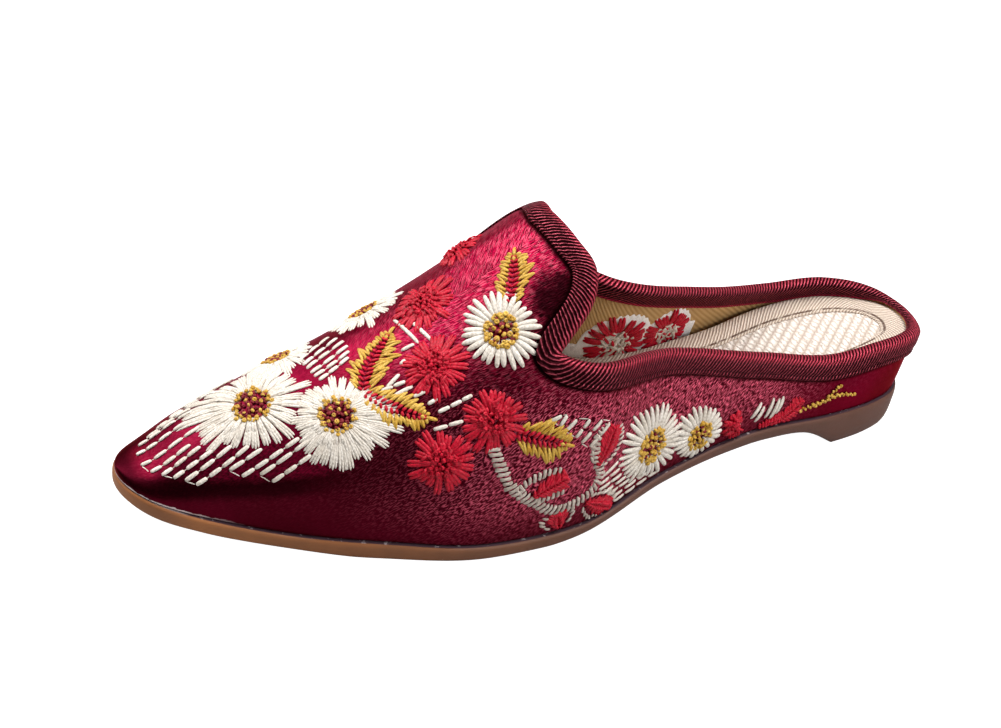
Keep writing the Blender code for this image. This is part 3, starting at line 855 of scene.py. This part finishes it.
def sew(name, bundles, material):
    """One piece from bundles of (rings of points along each thread, lengths along it)."""
    points, faces, charts, start = [], [], [], 0
    for rings, length in bundles:
        tubes, rows, cols = rings.shape[:3]
        counted = np.meshgrid(np.arange(tubes), np.arange(rows - 1), np.arange(cols), indexing="ij")
        k, i, j = (number[..., None] for number in counted)
        i, j = i + np.array([0, 0, 1, 1]), j + np.array([0, 1, 1, 0])
        faces.append((start + (k * rows + i) * cols + j % cols).reshape(-1, 4))
        around = np.broadcast_to(j / cols, i.shape)
        charts.append(np.stack([length[k, i], around], axis=-1).reshape(-1, 4, 2))
        points.append(rings.reshape(-1, 3))
        start += tubes * rows * cols
    corners = {"cloth": np.concatenate(charts)[:, ::-1]}
    faces = np.concatenate(faces)[:, ::-1]
    made = piece(name, np.concatenate(points), faces, corners, [material])
    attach(made, "root")


def ways_at(centre):
    """A chart place's (phi, angle), and the ways to the toe and up over the crest there."""
    phi, angle = chart(*centre)
    by_phi, by_angle = slopes(phi, angle)
    ahead = unit(by_phi)
    return phi, angle, ahead, unit(by_angle - (by_angle * ahead).sum() * ahead)


def spot(centre, bearing, distance):
    """(phi, angle) places at bearings in degrees, 0 to the toe and 90 over the crest, from one."""
    bearing = np.radians(np.asarray(bearing, float))
    phi, angle, ahead, up = ways_at(centre)
    heading = np.cos(bearing)[:, None] * ahead + np.sin(bearing)[:, None] * up
    start = np.ones(len(bearing))
    return np.stack(slide(start * phi, start * angle, heading, distance, 4), axis=1)


def rim_at(rim, bearing):
    """A flower's reach at these bearings, from pairs of (bearing, reach)."""
    edge, reach = np.array(rim, float).T
    return np.interp(bearing, edge, reach, period=360)


def petals(
    centre, rim, count, near, strand, side_by_side, over=0.0, ragged=0.05, reach_share=1.0, face=1
):
    """Petals of strands side by side, spaced evenly along the rim, from a ring round the eye."""
    share = np.cumsum(rim_at(rim, np.arange(361)))
    share = (share - share[0]) / (share[-1] - share[0])
    turns = (np.arange(count) + 0.5 + dice.uniform(-0.16, 0.16, count)) / count
    bearing = np.repeat(np.interp(turns, share, np.arange(361)), side_by_side)
    beside = np.tile(np.arange(side_by_side) - (side_by_side - 1) / 2, count)
    far = rim_at(rim, bearing) * reach_share
    far *= 1 + np.repeat(dice.uniform(-ragged, ragged, count), side_by_side)
    far -= SIDE_SHORTER * beside**2
    room = 360 / count / side_by_side
    foot_fan = np.minimum(np.degrees(0.7 * strand / near), room)
    tip_fan = np.minimum(np.degrees(0.8 * strand / far), room * 0.92)
    feet = spot(centre, bearing + beside * foot_fan, near + dice.uniform(-0.3, 0.3, len(far)))
    tips = spot(centre, bearing + beside * tip_fan, far)
    return strands(feet, tips, strand * dice.uniform(0.92, 1.1, len(far)), over, face=face)


twist, given, gives = effect("twisted_thread", ("Along", "Around"), ("Height", "Tone", "Fibre"))
lay = calc(twist, "ADD", given["Along"], given["Around"])
ply = calc(twist, "ABSOLUTE", calc(twist, "SINE", times(twist, lay, math.pi)))
hair_lay = times(twist, given["Along"], 1.3), times(twist, given["Around"], 11.0)
hair = speck(twist, node(twist, "CombineXYZ", dict(enumerate(hair_lay))).outputs[0], 1.0, 2)
slow = node(twist, "CombineXYZ", {0: times(twist, given["Along"], 0.12)}).outputs[0]
twist.links.new(calc(twist, "ADD", times(twist, ply, 0.4), hair), gives["Height"])
twist.links.new(stretch(twist, speck(twist, slow, 1.0, 1), 0.33, 0.67), gives["Tone"])
twist.links.new(stretch(twist, hair, 0.35, 0.65), gives["Fibre"])


def thread(name, dark, plain, light, roughness=0.55):
    """A twisted thread's material: painted shade between fibres, plain, and light at random."""
    made, tree, shader = finish_of(name, roughness, Specular_IOR_Level=0.25)
    _, walked, around = laid_on(tree)
    spun = node(tree, "Group", {"Along": walked, "Around": around}, node_tree=twist).outputs
    painted_shade_between_fibres = times(tree, calc(tree, "SUBTRACT", 1.0, spun["Fibre"]), 0.55)
    tone = tinted(tree, plain, (spun["Tone"], light), (painted_shade_between_fibres, dark))
    dress(tree, shader, (spun["Height"], 0.00014, 0.8), Base_Color=tone)
    return made


cream_thread = thread("cream_thread", (0.33, 0.26, 0.19), (0.70, 0.63, 0.54), (0.88, 0.83, 0.76))
FINE, PLAIN = "fine", "plain"

# Chart place of the eye, number of petals, radius of the eye, kind, and (bearing, reach) pairs.
DAISIES = (
    ((214, 34.7), 40, 5.2, FINE, (
        (-166, 13.5), (-131, 13.7), (-109, 12.9), (-67, 13.1), (-38, 14.4), (-3, 17.8), (29, 21),
        (60, 17), (112, 17), (166, 14.3),
    )),
    ((196, 33.8), 38, 4.8, FINE, (
        (-152, 15.4), (-136, 14.3), (-108, 13.8), (-74, 14.4), (-47, 12.8), (-9, 11.6), (19, 11.3),
        (63, 11.2), (102, 10.4), (140, 10.2), (177, 13.7),
    )),
    ((203, 58), 30, 4, FINE, ((-147, 9), (-85, 10.4), (-3, 9.5), (90, 11), (160, 10))),
    ((177, 80), 30, 4.2, FINE, ((-80, 12.4), (-54, 12.5), (12, 10), (90, 12), (160, 11))),
    ((154.4, 58.6), 29, 4.6, PLAIN, (
        (-137, 9.8), (-99, 10.2), (-53, 9.7), (-8, 9.3), (41, 10.5), (78, 11.5), (122, 10.8),
        (170, 9.1),
    )),
    ((109.2, 12.8), 32, 5.4, PLAIN, (
        (-170, 13.3), (-73, 10.2), (-30, 12), (22, 14.2), (50, 14.8), (92, 12.1), (145, 11.3),
    )),
    ((171, 106), 27, 4.2, PLAIN, ((0, 9.2), (70, 10), (140, 9), (180, 9.6), (250, 8.6))),
    ((91.3, 6.7), 25, 4.2, PLAIN, (
        (-163, 8.8), (-90, 6), (0, 9.5), (52, 10.6), (89, 9.4), (140, 8),
    )),
)
cream = []
for centre, count, eye, kind, rim in DAISIES:
    if kind == FINE:
        cream.append(petals(centre, rim, int(count * 0.82), eye * 0.8, 0.9, 3, ragged=0.14))
        cream.append(petals(centre, rim, int(count * 0.8), eye * 0.75, 0.8, 2, 0.35, 0.2, 0.66))
    else:
        cream.append(petals(centre, rim, count, eye * 0.8, 1.6, 1, ragged=0.08))
        cream.append(petals(centre, [(0, eye * 1.35)], count // 2, eye * 0.5, 0.7, 2, 0.2))
sew("daisy_petals", cream, cream_thread)

# ---- Eyes of the daisies -----------------------------------------------------------------------
# French knots in old-gold thread, set close in a ring and scattered inside it. Dark red knots
# fill the gaps, most of all in the eyes by the toe.
GOLDEN_TURN = 2.39996
KNOT_STEPS, KNOT_SIDES = 10, 6
KNOT_ROUND, KNOT_WIDE, KNOT_TALL, KNOT_LENGTH = 0.24, 0.22, 0.26, 2.2


def knots(places, size, over):
    """Small rings of thread, one at each (phi, angle) place, tipped a little each way."""
    phi, angle = places.T
    n = outward(phi, angle)
    base = skin(phi, angle) + n * over
    n = unit(n + dice.normal(0, 0.6, n.shape))
    one = unit(np.cross(n, dice.normal(0, 1, n.shape)))
    two = np.cross(n, one)
    size = (size * dice.uniform(0.75, 1.15, len(phi)))[:, None, None, None]
    a = np.linspace(0, 2 * math.pi, KNOT_STEPS)[None, :, None, None]
    b = np.linspace(0, 2 * math.pi, KNOT_SIDES, endpoint=False)[None, None, :, None]
    n, one, two = (v[:, None, None] for v in (n, one, two))
    out = np.cos(a) * one + np.sin(a) * two
    cord = out * (KNOT_ROUND + KNOT_WIDE * np.cos(b)) + n * KNOT_TALL * np.sin(b)
    rings = base[:, None, None] + size * cord
    length = np.linspace(0, KNOT_LENGTH, KNOT_STEPS)[None] + dice.uniform(0, 4000, (len(phi), 1))
    return rings[:, :, ::-1], length


def scatter(centre, radius, count, inner=0.0):
    """Places spread evenly over a disc or ring on the cloth."""
    i = np.arange(count)
    r = np.sqrt(inner**2 + (radius**2 - inner**2) * (i + 0.5) / count) + dice.normal(0, 0.12, count)
    return spot(centre, np.degrees(i * GOLDEN_TURN) + dice.normal(0, 5, count), r)


gold_thread = thread(
    "gold_thread", (0.16, 0.06, 0.004), (0.55, 0.28, 0.02), (0.84, 0.56, 0.11), 0.4
)
wine_thread = thread(
    "wine_thread", (0.05, 0.002, 0.004), (0.17, 0.006, 0.012), (0.30, 0.02, 0.03), 0.5
)
gold, dark_knots = [], []
for centre, _, eye, kind, _ in DAISIES:
    size, inner_gold, dark = (1.4, 2.2, 6.5) if kind == FINE else (1.7, 3.0, 1.8)
    gold.append(knots(scatter(centre, eye, int(eye * 5.6), eye * 0.76), size, 0.55))
    gold.append(knots(scatter(centre, eye * 0.75, int(eye * inner_gold)), size, 0.65))
    dark_knots.append(knots(scatter(centre, eye * 0.8, int(eye * dark)), size * 1.05, 0.45))

# ---- Red flowers -------------------------------------------------------------------------------
# Bright red thread in two rounds of short, uneven strands over a raised, tangled middle. Some
# stand alone and some fill the buds.
red_thread = thread(
    "red_thread", (0.08, 0.0, 0.003), (0.46, 0.001, 0.016), (0.70, 0.006, 0.034), 0.45
)
RED_FLOWERS = (
    ((166.7, 71.6), 9.0), ((170.9, 49.5), 8.6), ((160, 35.5), 8.2), ((173.5, 24.1), 8.2),
    ((152.2, 95.5), 7.2), ((79.2, 5.2), 3.8), ((95, 112), 8.5), ((77, 105.5), 8.0),
    ((158, 126), 7.4),
)
red = []


def hops(count, ahead):
    """Small random moves in (phi, angle)."""
    return np.stack([dice.normal(0, ahead, count), dice.normal(0, 0.03, count)], axis=1)


for centre, reach in RED_FLOWERS:
    count, rim = int(reach * 2.1), [(0, reach)]
    red.append(petals(centre, rim, count, reach * 0.3, 1.25, 2, 0.05, 0.15))
    red.append(petals(centre, rim, int(count * 0.75), reach * 0.14, 1.0, 2, 0.6, 0.2, 0.66))
    bits = scatter(centre, reach * 0.5, int(reach * 5))
    tangled = bits + hops(len(bits), 0.012)
    red.append(strands(bits, tangled, 0.75, dice.uniform(0.9, 1.3, len(bits))))
    red.append(knots(scatter(centre, reach * 0.42, int(reach * 2.2)), 1.35, 1.3))

# ---- Feathered leaves --------------------------------------------------------------------------
# Two rows of slanting gold strands that open towards the tip, with shorter red strands between
# them along the spine.
def route(points, spacing):
    """Places along a smooth line through chart points: (phi, angle), ahead, left and share."""
    s, g = np.array(points, float).T
    phi, angle = chart(s, g)
    walked = lengths(skin(phi, angle))
    d = np.arange(spacing / 2, walked[-1], spacing)
    phi, angle = smooth(walked, phi, d), smooth(walked, angle, d)
    by_phi, by_angle = slopes(phi, angle)
    normal = unit(np.cross(by_angle, by_phi))
    points = skin(phi, angle)
    ahead = unit(np.gradient(points, axis=0) if len(d) > 1 else by_phi)
    return np.stack([phi, angle], axis=1), ahead, unit(np.cross(normal, ahead)), d / walked[-1]


def off(line, side, slant, distance):
    """Places this far to one side of a line, slanted ahead by this angle in degrees."""
    places, ahead, left, _ = line
    slant = np.radians(np.broadcast_to(slant, len(places)))[:, None]
    heading = left * side * np.cos(slant) + ahead * np.sin(slant)
    return np.stack(slide(places[:, 0], places[:, 1], heading, distance, 4), axis=1)


def leaf(points, left, right):
    """A leaf from its foot to its tip, with its half widths to the left and right."""
    line = route(points, 1.45)
    shape = 1.15 * np.sin(math.pi * (0.24 + 0.72 * line[3])) ** 0.8
    for side, half in ((1, left), (-1, right)):
        wide = half * shape
        rough = dice.uniform(0.74, 1.22, len(wide))
        slant = 38 + dice.uniform(-7, 7, len(wide))
        tips = off(line, side, slant, wide * 1.26 * rough)
        gold.append(strands(off(line, side, 12, wide * 0.3), tips, 0.85, 0.1))
        gold.append(strands(off(line, side, 62, wide * 0.45), tips, 0.85, 0.25))
        spine, fork = off(line, side, 28, wide * 0.02), off(line, side, 34, wide * 0.42 * rough)
        red.append(strands(spine, fork, 0.85, 0.35))
    tip = [part[-2:] for part in line]
    gold.append(strands(off(tip, 1, 90, 0.2), off(tip, 1, 90, np.array([2.2, 3.4])), 1.05, 0.25))


for points, left, right in (
    (((150.9, 65.4), (149.1, 70.6), (147.3, 75.6), (145.4, 81.2)), 4.3, 4.1),
    (((188.6, 40.6), (186.4, 46.6), (182.6, 53.2), (177.2, 61)), 4.1, 5.3),
    (((188.4, 40.6), (184.4, 37.8), (179.8, 36), (175.2, 35.2)), 4.0, 3.8),
    (((154.9, 32.2), (149.6, 30.6), (144.8, 29), (140.6, 27.6)), 4.7, 4.5),
    (((150.5, 139), (146, 145), (141, 151), (135.6, 156)), 4.6, 4.6),
):
    leaf(points, left, right)

sprig = route(((54.6, 3.6), (49.9, 4.4), (45, 5.3), (40, 6.2), (33, 4.9)), 0.9)
branch = route(((45, 5.3), (42.3, 7.6), (39.2, 9.5)), 1.0)
for line in (sprig, branch):
    beside = np.where(np.arange(len(line[3])) % 2, 0.35, -0.35) * (1 - line[3] * 0.6)
    gold.append(knots(off(line, 1, 0, beside), 1.3, 0.3))
sew("gold_embroidery", gold, gold_thread)
sew("dark_knots", dark_knots, wine_thread)

# ---- Buds and the looped line ------------------------------------------------------------------
# Red almond buds in slanted strands, edged with short grey strands. A whipped grey line loops
# round the largest of them.
grey_thread = thread("grey_thread", (0.13, 0.09, 0.07), (0.44, 0.35, 0.29), (0.74, 0.65, 0.57))
grey = []


def bud_width(line, half):
    return half * np.sin(math.pi * np.clip(line[3] * 0.9 + 0.05, 0, 1)) ** 0.7


def bud(points, half, edged):
    """A bud from its foot to its tip, with its half width and the sides that are edged."""
    line = route(points, 0.95)
    wide = bud_width(line, half)
    for side in (1, -1):
        rough = dice.uniform(0.8, 1.35, len(wide))
        tips = off(line, side, 42, wide * 1.2 * rough)
        red.append(strands(off(line, -side, 20, 0.3), tips, 0.95, 0.15))
        tips = off(line, side, 60, wide * 0.8 * rough)
        red.append(strands(off(line, side, 20, wide * 0.1), tips, 0.8, 0.6))
    edging = route(points, 1.3)
    wide = bud_width(edging, half) * 1.1
    for side in edged:
        tips = off(edging, side, 22, wide + 2.1)
        grey.append(strands(off(edging, side, 12, wide + 0.2), tips, 0.85, 0.05))


for points, half, edged in (
    (((149.5, 13.6), (145, 15.6), (140.2, 17.6)), 3.6, ()),
    (((139.4, 0.5), (140.8, 5.6)), 3.4, (1, -1)),
    (((132.4, 7.6), (127, 4), (122.2, 0.8)), 3.3, (1, -1)),
    (((131, 18.5), (128.2, 23), (126.2, 28.6)), 3.7, (1, -1)),
    (((80.3, 1.2), (76.2, 1.2)), 1.2, (1,)),
    (((120.5, 152), (115.5, 143), (111, 134.5)), 3.2, (1, -1)),
    (((64, 0.8), (59, 3.0), (54.2, 6.6)), 3.0, ()),
    (((69.5, 0.8), (65, 1.4), (60.5, 2.2)), 1.7, ()),
):
    bud(points, half, edged)

for points, long, spacing in (
    ((
        (160.8, 28.8), (159.4, 25.4), (158.1, 22.1), (156.2, 18.1), (152.8, 14.8), (148.2, 11.5),
        (143.2, 8), (138.9, 7.6), (134.2, 8.8), (130.6, 10.8), (128.6, 14.6), (130.6, 20.1),
        (132, 24.7), (131.6, 28.1),
    ), 3.2, 1.5),
    (((153.5, 14.8), (151.6, 17.8), (148.2, 19.4), (144.9, 20.3), (142.1, 20.3)), 2.3, 1.4),
    (((148, 11.9), (143.8, 12.5), (140.2, 13.5)), 1.8, 1.4),
    (((152, 134), (151.5, 143), (146, 152), (138, 161), (129, 165), (121.5, 156)), 2.8, 1.5),
):
    line = route(points, spacing)
    size = np.full(len(line[3]), long / 2)
    for shift in (-0.38, 0.38):
        rough = dice.uniform(0.8, 1.2, len(size))
        tilt = 8 + 26 * shift
        low, high = (off(line, way, way * (tilt + 12), size * rough) for way in (-1, 1))
        grey.append(strands(low, high, 0.88, 0.15))
sew("red_embroidery", red, red_thread)
sew("grey_embroidery", grey, grey_thread)

# ---- Running stitch ----------------------------------------------------------------------------
# Flat cream stitches in slanting rows that fill the toe and the gaps between the flowers. Rows
# start in pairs, joined by a thin loop of thread.
TOE_ROWS = (
    ((241.5, 14.1), (219, 36)), ((241.3, 10.2), (221, 31)), ((239.9, 8.4), (220, 29.5)),
    ((237.6, 8.4), (219, 29)), ((235.2, 8.5), (217, 28)), ((232.9, 8.6), (216, 27)),
    ((230.5, 8.5), (213, 27)), ((222.7, 14.5), (209.4, 27)), ((220, 13.7), (205.5, 27)),
    ((215.9, 15.2), (203, 27)), ((213.3, 14), (200, 26)), ((240.2, 18.6), (217, 40)),
    ((237.8, 22.4), (216, 43)), ((235.2, 26.4), (214, 46)), ((231.6, 31.6), (214, 49)),
    ((228, 37), (214, 51.5)), ((224, 42), (213, 54)),
)
GROUP_ROWS = (
    ((199.6, 52.4), (188.6, 65.6)), ((199.2, 50.4), (187.6, 62.9)),
    ((198.9, 48.8), (187, 60.3)), ((198.4, 47.2), (186.8, 57.9)), ((198, 45.8), (187.2, 55.6)),
    ((197.4, 44.4), (188, 53.2)),
)
SINGLE = (
    ((176.5, 54.6), (173.2, 56.7)), ((178, 50), (176.2, 51.7)), ((184.4, 41.5), (181.4, 43.0)),
    ((181.2, 43.2), (178.2, 44.7)), ((181.9, 40.3), (177, 43.5)),
    ((177.5, 40.5), (174.5, 42.3)), ((174.7, 38.8), (172.2, 40.6)),
    ((172.7, 37), (169.9, 38.6)), ((169.6, 38.8), (166.9, 40.3)),
    ((166.7, 40.5), (164.2, 41.9)), ((182.9, 42.5), (179, 46.9)),
    ((174.5, 32.4), (171.1, 33.7)), ((170.8, 33.9), (167.3, 35.2)), ((172.2, 68), (169.1, 57)),
    ((174.7, 66.9), (172.2, 56.9)),
)
PAIRS = (
    ((145.4, 34.8), (142.4, 36)), ((143.2, 33.1), (141.1, 36)), ((141.6, 31.5), (138.3, 34.6)),
    ((138.6, 29.3), (134.7, 33.8)), ((136.9, 27.4), (130.8, 32.6)),
    ((134.4, 25.4), (127.5, 30.9)),
)
HEEL_PAIRS = (
    ((72.5, 4.5), (69.3, 8.8)), ((70.8, 2.9), (68, 7.2)), ((67.2, 3.2), (64.8, 9.2)),
    ((65.4, 2.4), (62.6, 8.6)), ((63.4, 3.8), (61.2, 9)),
)
ARCH_ROWS = (
    ((128.1, 13.7), (122, 16)), ((128.6, 11.6), (117, 13.4)), ((128.4, 9.6), (115, 10.6)),
    ((126.4, 7.6), (113, 8.4)), ((124.4, 5.8), (111, 6.2)), ((122.4, 3.6), (108, 3.8)),
    ((120.6, 1.4), (104, 1.6)),
)
UNDER_FLOWER = 0.88
LONGEST_GAP = 1.6


def row_places(rows):
    """(phi, angle) places of the rows' first ends, and of their last ends."""
    s, g = np.moveaxis(np.array(rows, float), -1, 0)
    return [np.stack(chart(s[:, end], g[:, end]), axis=1) for end in (0, 1)]


def broken(rows, pitch):
    """Each row cut into stitches of about this pitch."""
    starts, ends = [], []
    for first, last in zip(*row_places(rows)):
        t = np.linspace(0, 1, 20)[:, None]
        count = max(1, round(lengths(skin(*(first * (1 - t) + last * t).T))[-1] / pitch))
        k = np.arange(count)[:, None] + dice.uniform(-0.05, 0.05, (count, 1))
        starts.append(first + (last - first) * (k + 0.05) / count)
        ends.append(first + (last - first) * (k + 0.93) / count)
    return np.concatenate(starts), np.concatenate(ends)


def clear_of_flowers(starts, ends):
    """Drops the stitches that would lie under a flower."""
    mids = skin(*((starts + ends) / 2).T)
    keep = np.ones(len(mids), bool)
    for centre, _, _, _, rim in DAISIES:
        phi, angle, ahead, up = ways_at(centre)
        gap = mids - skin(phi, angle)
        bearing = np.degrees(np.arctan2(gap @ up, gap @ ahead))
        keep &= np.linalg.norm(gap, axis=1) > rim_at(rim, bearing) * UNDER_FLOWER
    return starts[keep], ends[keep]


def drawn_between(starts, ends):
    """The thin drawn thread from the end of each stitch to the next one of its row."""
    starts, ends = starts[1:], ends[:-1]
    keep = np.linalg.norm(skin(*ends.T) - skin(*starts.T), axis=1) < LONGEST_GAP
    return strands(ends[keep], starts[keep], 0.3, 0.02)


stitched = []
for rows, pitch in ((TOE_ROWS, 4.7), (GROUP_ROWS, 4.1)):
    placed = clear_of_flowers(*broken(rows, pitch))
    stitched += [strands(*placed, 1.15, 0.05, 0.5, ends=0.25), drawn_between(*placed)]
stitched.append(strands(*row_places(SINGLE), 1.1, 0.05, 0.5, ends=0.25))
placed = clear_of_flowers(*broken(ARCH_ROWS, 4.9))
stitched.append(strands(*placed, 1.1, 0.05, 0.5, ends=0.25))
stitched.append(strands(*broken(PAIRS, 3.9), 1.1, 0.05, 0.55, ends=0.25))
stitched.append(strands(*row_places(HEEL_PAIRS), 1.35, 0.1, 0.55))
firsts, lasts = row_places(PAIRS)
toe_firsts, _ = row_places(TOE_ROWS)
links_from = np.concatenate([firsts[0::2], lasts[0::2], toe_firsts[1:10:2]])
links_to = np.concatenate([firsts[1::2], lasts[1::2], toe_firsts[2:11:2]])
stitched.append(strands(links_from, links_to, 0.32))
sew("running_stitch", stitched, cream_thread)

# ---- Backs of the flowers ----------------------------------------------------------------------
# The lining is cut away behind the flowers of the inner side. It shows the soft white backing and
# the underside of the thread, bright red with cream between.
backing_felt, tree, shader = finish_of("backing_felt", 0.95)
laid, _, _ = laid_on(tree)
matted = speck(tree, laid, 1.6, 5, 0.7)
tone = tinted(tree, (0.88, 0.86, 0.84), (stretch(tree, matted, 0.35, 0.65), (0.97, 0.96, 0.95)))
dress(tree, shader, (matted, 0.0004, 0.8), Base_Color=tone)

# Where each flower's back lies along the shoe, how far up from the foot, its reach and height.
BACKS = ((95.4, 9.4, 9.4, 11.4), (78.6, 7.6, 7.8, 9.6))
CUT_AWAY, FELT_FOOT, FELT_THICK, SUNK_IN = 0.7, 0.4, 0.35, 0.05
FELT_FROM, FELT_TO, FELT_UP, VAMP_FELT_FROM, VAMP_FELT_UP = 68, 141, 6.5, 96, 9.0
back_s = np.linspace(FELT_FROM, FELT_TO, 147)
top = np.full(len(back_s), FELT_UP)
for s0, up, reach, tall in BACKS:
    scallop = 1 + 0.05 * np.cos((back_s - s0) * 3.4)
    arch = np.sqrt(np.maximum(1 - ((back_s - s0) / (reach + CUT_AWAY)) ** 2, 0))
    top = np.maximum(top, up + (tall + CUT_AWAY) * scallop * arch)
top = np.where(back_s > VAMP_FELT_FROM, np.maximum(top, VAMP_FELT_UP), top)
whole = girth(turn(back_s), np.full(len(back_s), math.pi))
up_share = np.linspace(0, 1, 25)
felt_g = whole[:, None] - FELT_FOOT - (top[:, None] - FELT_FOOT) * up_share
felt_s = np.broadcast_to(back_s[:, None], felt_g.shape)
felt_phi, felt_angle = chart(felt_s, felt_g)
from_edge = np.minimum((1 - up_share)[None] * 12, np.arange(len(back_s))[:, None])
felt_in = WALL + FELT_THICK * np.minimum(1, from_edge) - SUNK_IN
felt = skin(felt_phi, felt_angle) - outward(felt_phi, felt_angle) * felt_in[..., None]
felt_patch = (felt, np.stack([felt_s, felt_g], axis=-1), 0)
backing = weld("flower_backing", [felt_patch], [backing_felt], 80)
back_red, back_cream = [], []
for s0, up, reach, tall in BACKS:
    centre = (s0, float(girth(turn(s0), np.array(math.pi))) - up)
    rim = [(way, tall) for way in (-90, 90)] + [(way, reach) for way in (0, 180)]
    rim += [(way, tall * 0.93) for way in (-45, 45, 135, 225)]
    back_red.append(petals(centre, rim, 17, reach * 0.42, 1.4, 2, 0.45, 0.1, face=-1))
    for made, count in ((back_red, 12), (back_cream, 28)):
        bits, hop = scatter(centre, reach * 0.55, count), hops(count, 0.010)
        made.append(strands(bits - hop, bits + hop, 1.0, dice.uniform(0.4, 0.8, count), face=-1))
sew("flower_backs", back_red, red_thread)
sew("flower_backs_cream", back_cream, cream_thread)

# ---- Studio ------------------------------------------------------------------------------------
# A floor that shows plain white, a dim even surround and three soft lights: the key ahead on the
# inner side, one overhead and a weaker one behind on the outer side. The camera stands to the
# toe's outer side and looks down on it.
floor_mesh = bpy.data.meshes.new("floor")
floor_mesh.from_pydata([(-15, -15, 0), (15, -15, 0), (15, 15, 0), (-15, 15, 0)], [], [(0, 1, 2, 3)])
floor = bpy.data.objects.new("floor", floor_mesh)
bpy.context.scene.collection.objects.link(floor)
paper, tree, shader = finish_of("pale_paper", 0.9, Emission_Strength=1.0)
shader.inputs["Base Color"].default_value = (0.42, 0.42, 0.42, 1)
looked_at = node(tree, "LightPath").outputs["Is Camera Ray"]
tree.links.new(blend(tree, looked_at, (0, 0, 0), (1, 1, 1)), shader.inputs["Emission Color"])
floor_mesh.materials.append(paper)

world = bpy.data.worlds.new("surround")
world.use_nodes = True
world.node_tree.nodes["Background"].inputs["Color"].default_value = (1, 1, 1, 1)
world.node_tree.nodes["Background"].inputs["Strength"].default_value = 0.05
bpy.context.scene.world = world
bpy.context.scene.view_settings.view_transform = "Standard"


def soft_light(name, at_place, aim, size, power):
    lamp = bpy.data.lights.new(name, "AREA")
    lamp.size, lamp.energy = size, power
    made = bpy.data.objects.new(name, lamp)
    made.location = at_place
    made.rotation_mode = "QUATERNION"
    made.rotation_quaternion = (Vector(aim) - Vector(at_place)).to_track_quat("-Z", "Y")
    bpy.context.scene.collection.objects.link(made)


soft_light("key", (-0.62, -0.5, 0.75), (0, -0.03, 0.03), 0.75, 15)
soft_light("overhead", (0.05, 0.3, 1.0), (0, 0, 0), 0.6, 12)
soft_light("side_fill", (0.95, 0.5, 0.6), (0, 0, 0.03), 0.5, 7)

EYE_SIDE, EYE_UP, EYE_AWAY = math.radians(56.26), math.radians(35.92), 0.43528
back = Vector((
    math.sin(EYE_SIDE) * math.cos(EYE_UP), -math.cos(EYE_SIDE) * math.cos(EYE_UP),
    math.sin(EYE_UP),
))
rightward = Vector((math.cos(EYE_SIDE), math.sin(EYE_SIDE), 0))
centre = Vector((0, 0, 0.025))
camera_data = bpy.data.cameras.new("camera")
camera_data.lens, camera_data.sensor_width = 56.32, 36
camera_data.clip_start, camera_data.clip_end = 0.01, 60
camera = bpy.data.objects.new("camera", camera_data)
camera.location = centre + back * EYE_AWAY
aim = centre + rightward * -0.01651 + back.cross(rightward) * -0.00134
camera.rotation_mode = "QUATERNION"
rolled = Quaternion((0, 0, 1), math.radians(11.11))
camera.rotation_quaternion = (aim - camera.location).to_track_quat("-Z", "Y") @ rolled
bpy.context.scene.collection.objects.link(camera)
bpy.context.scene.camera = camera
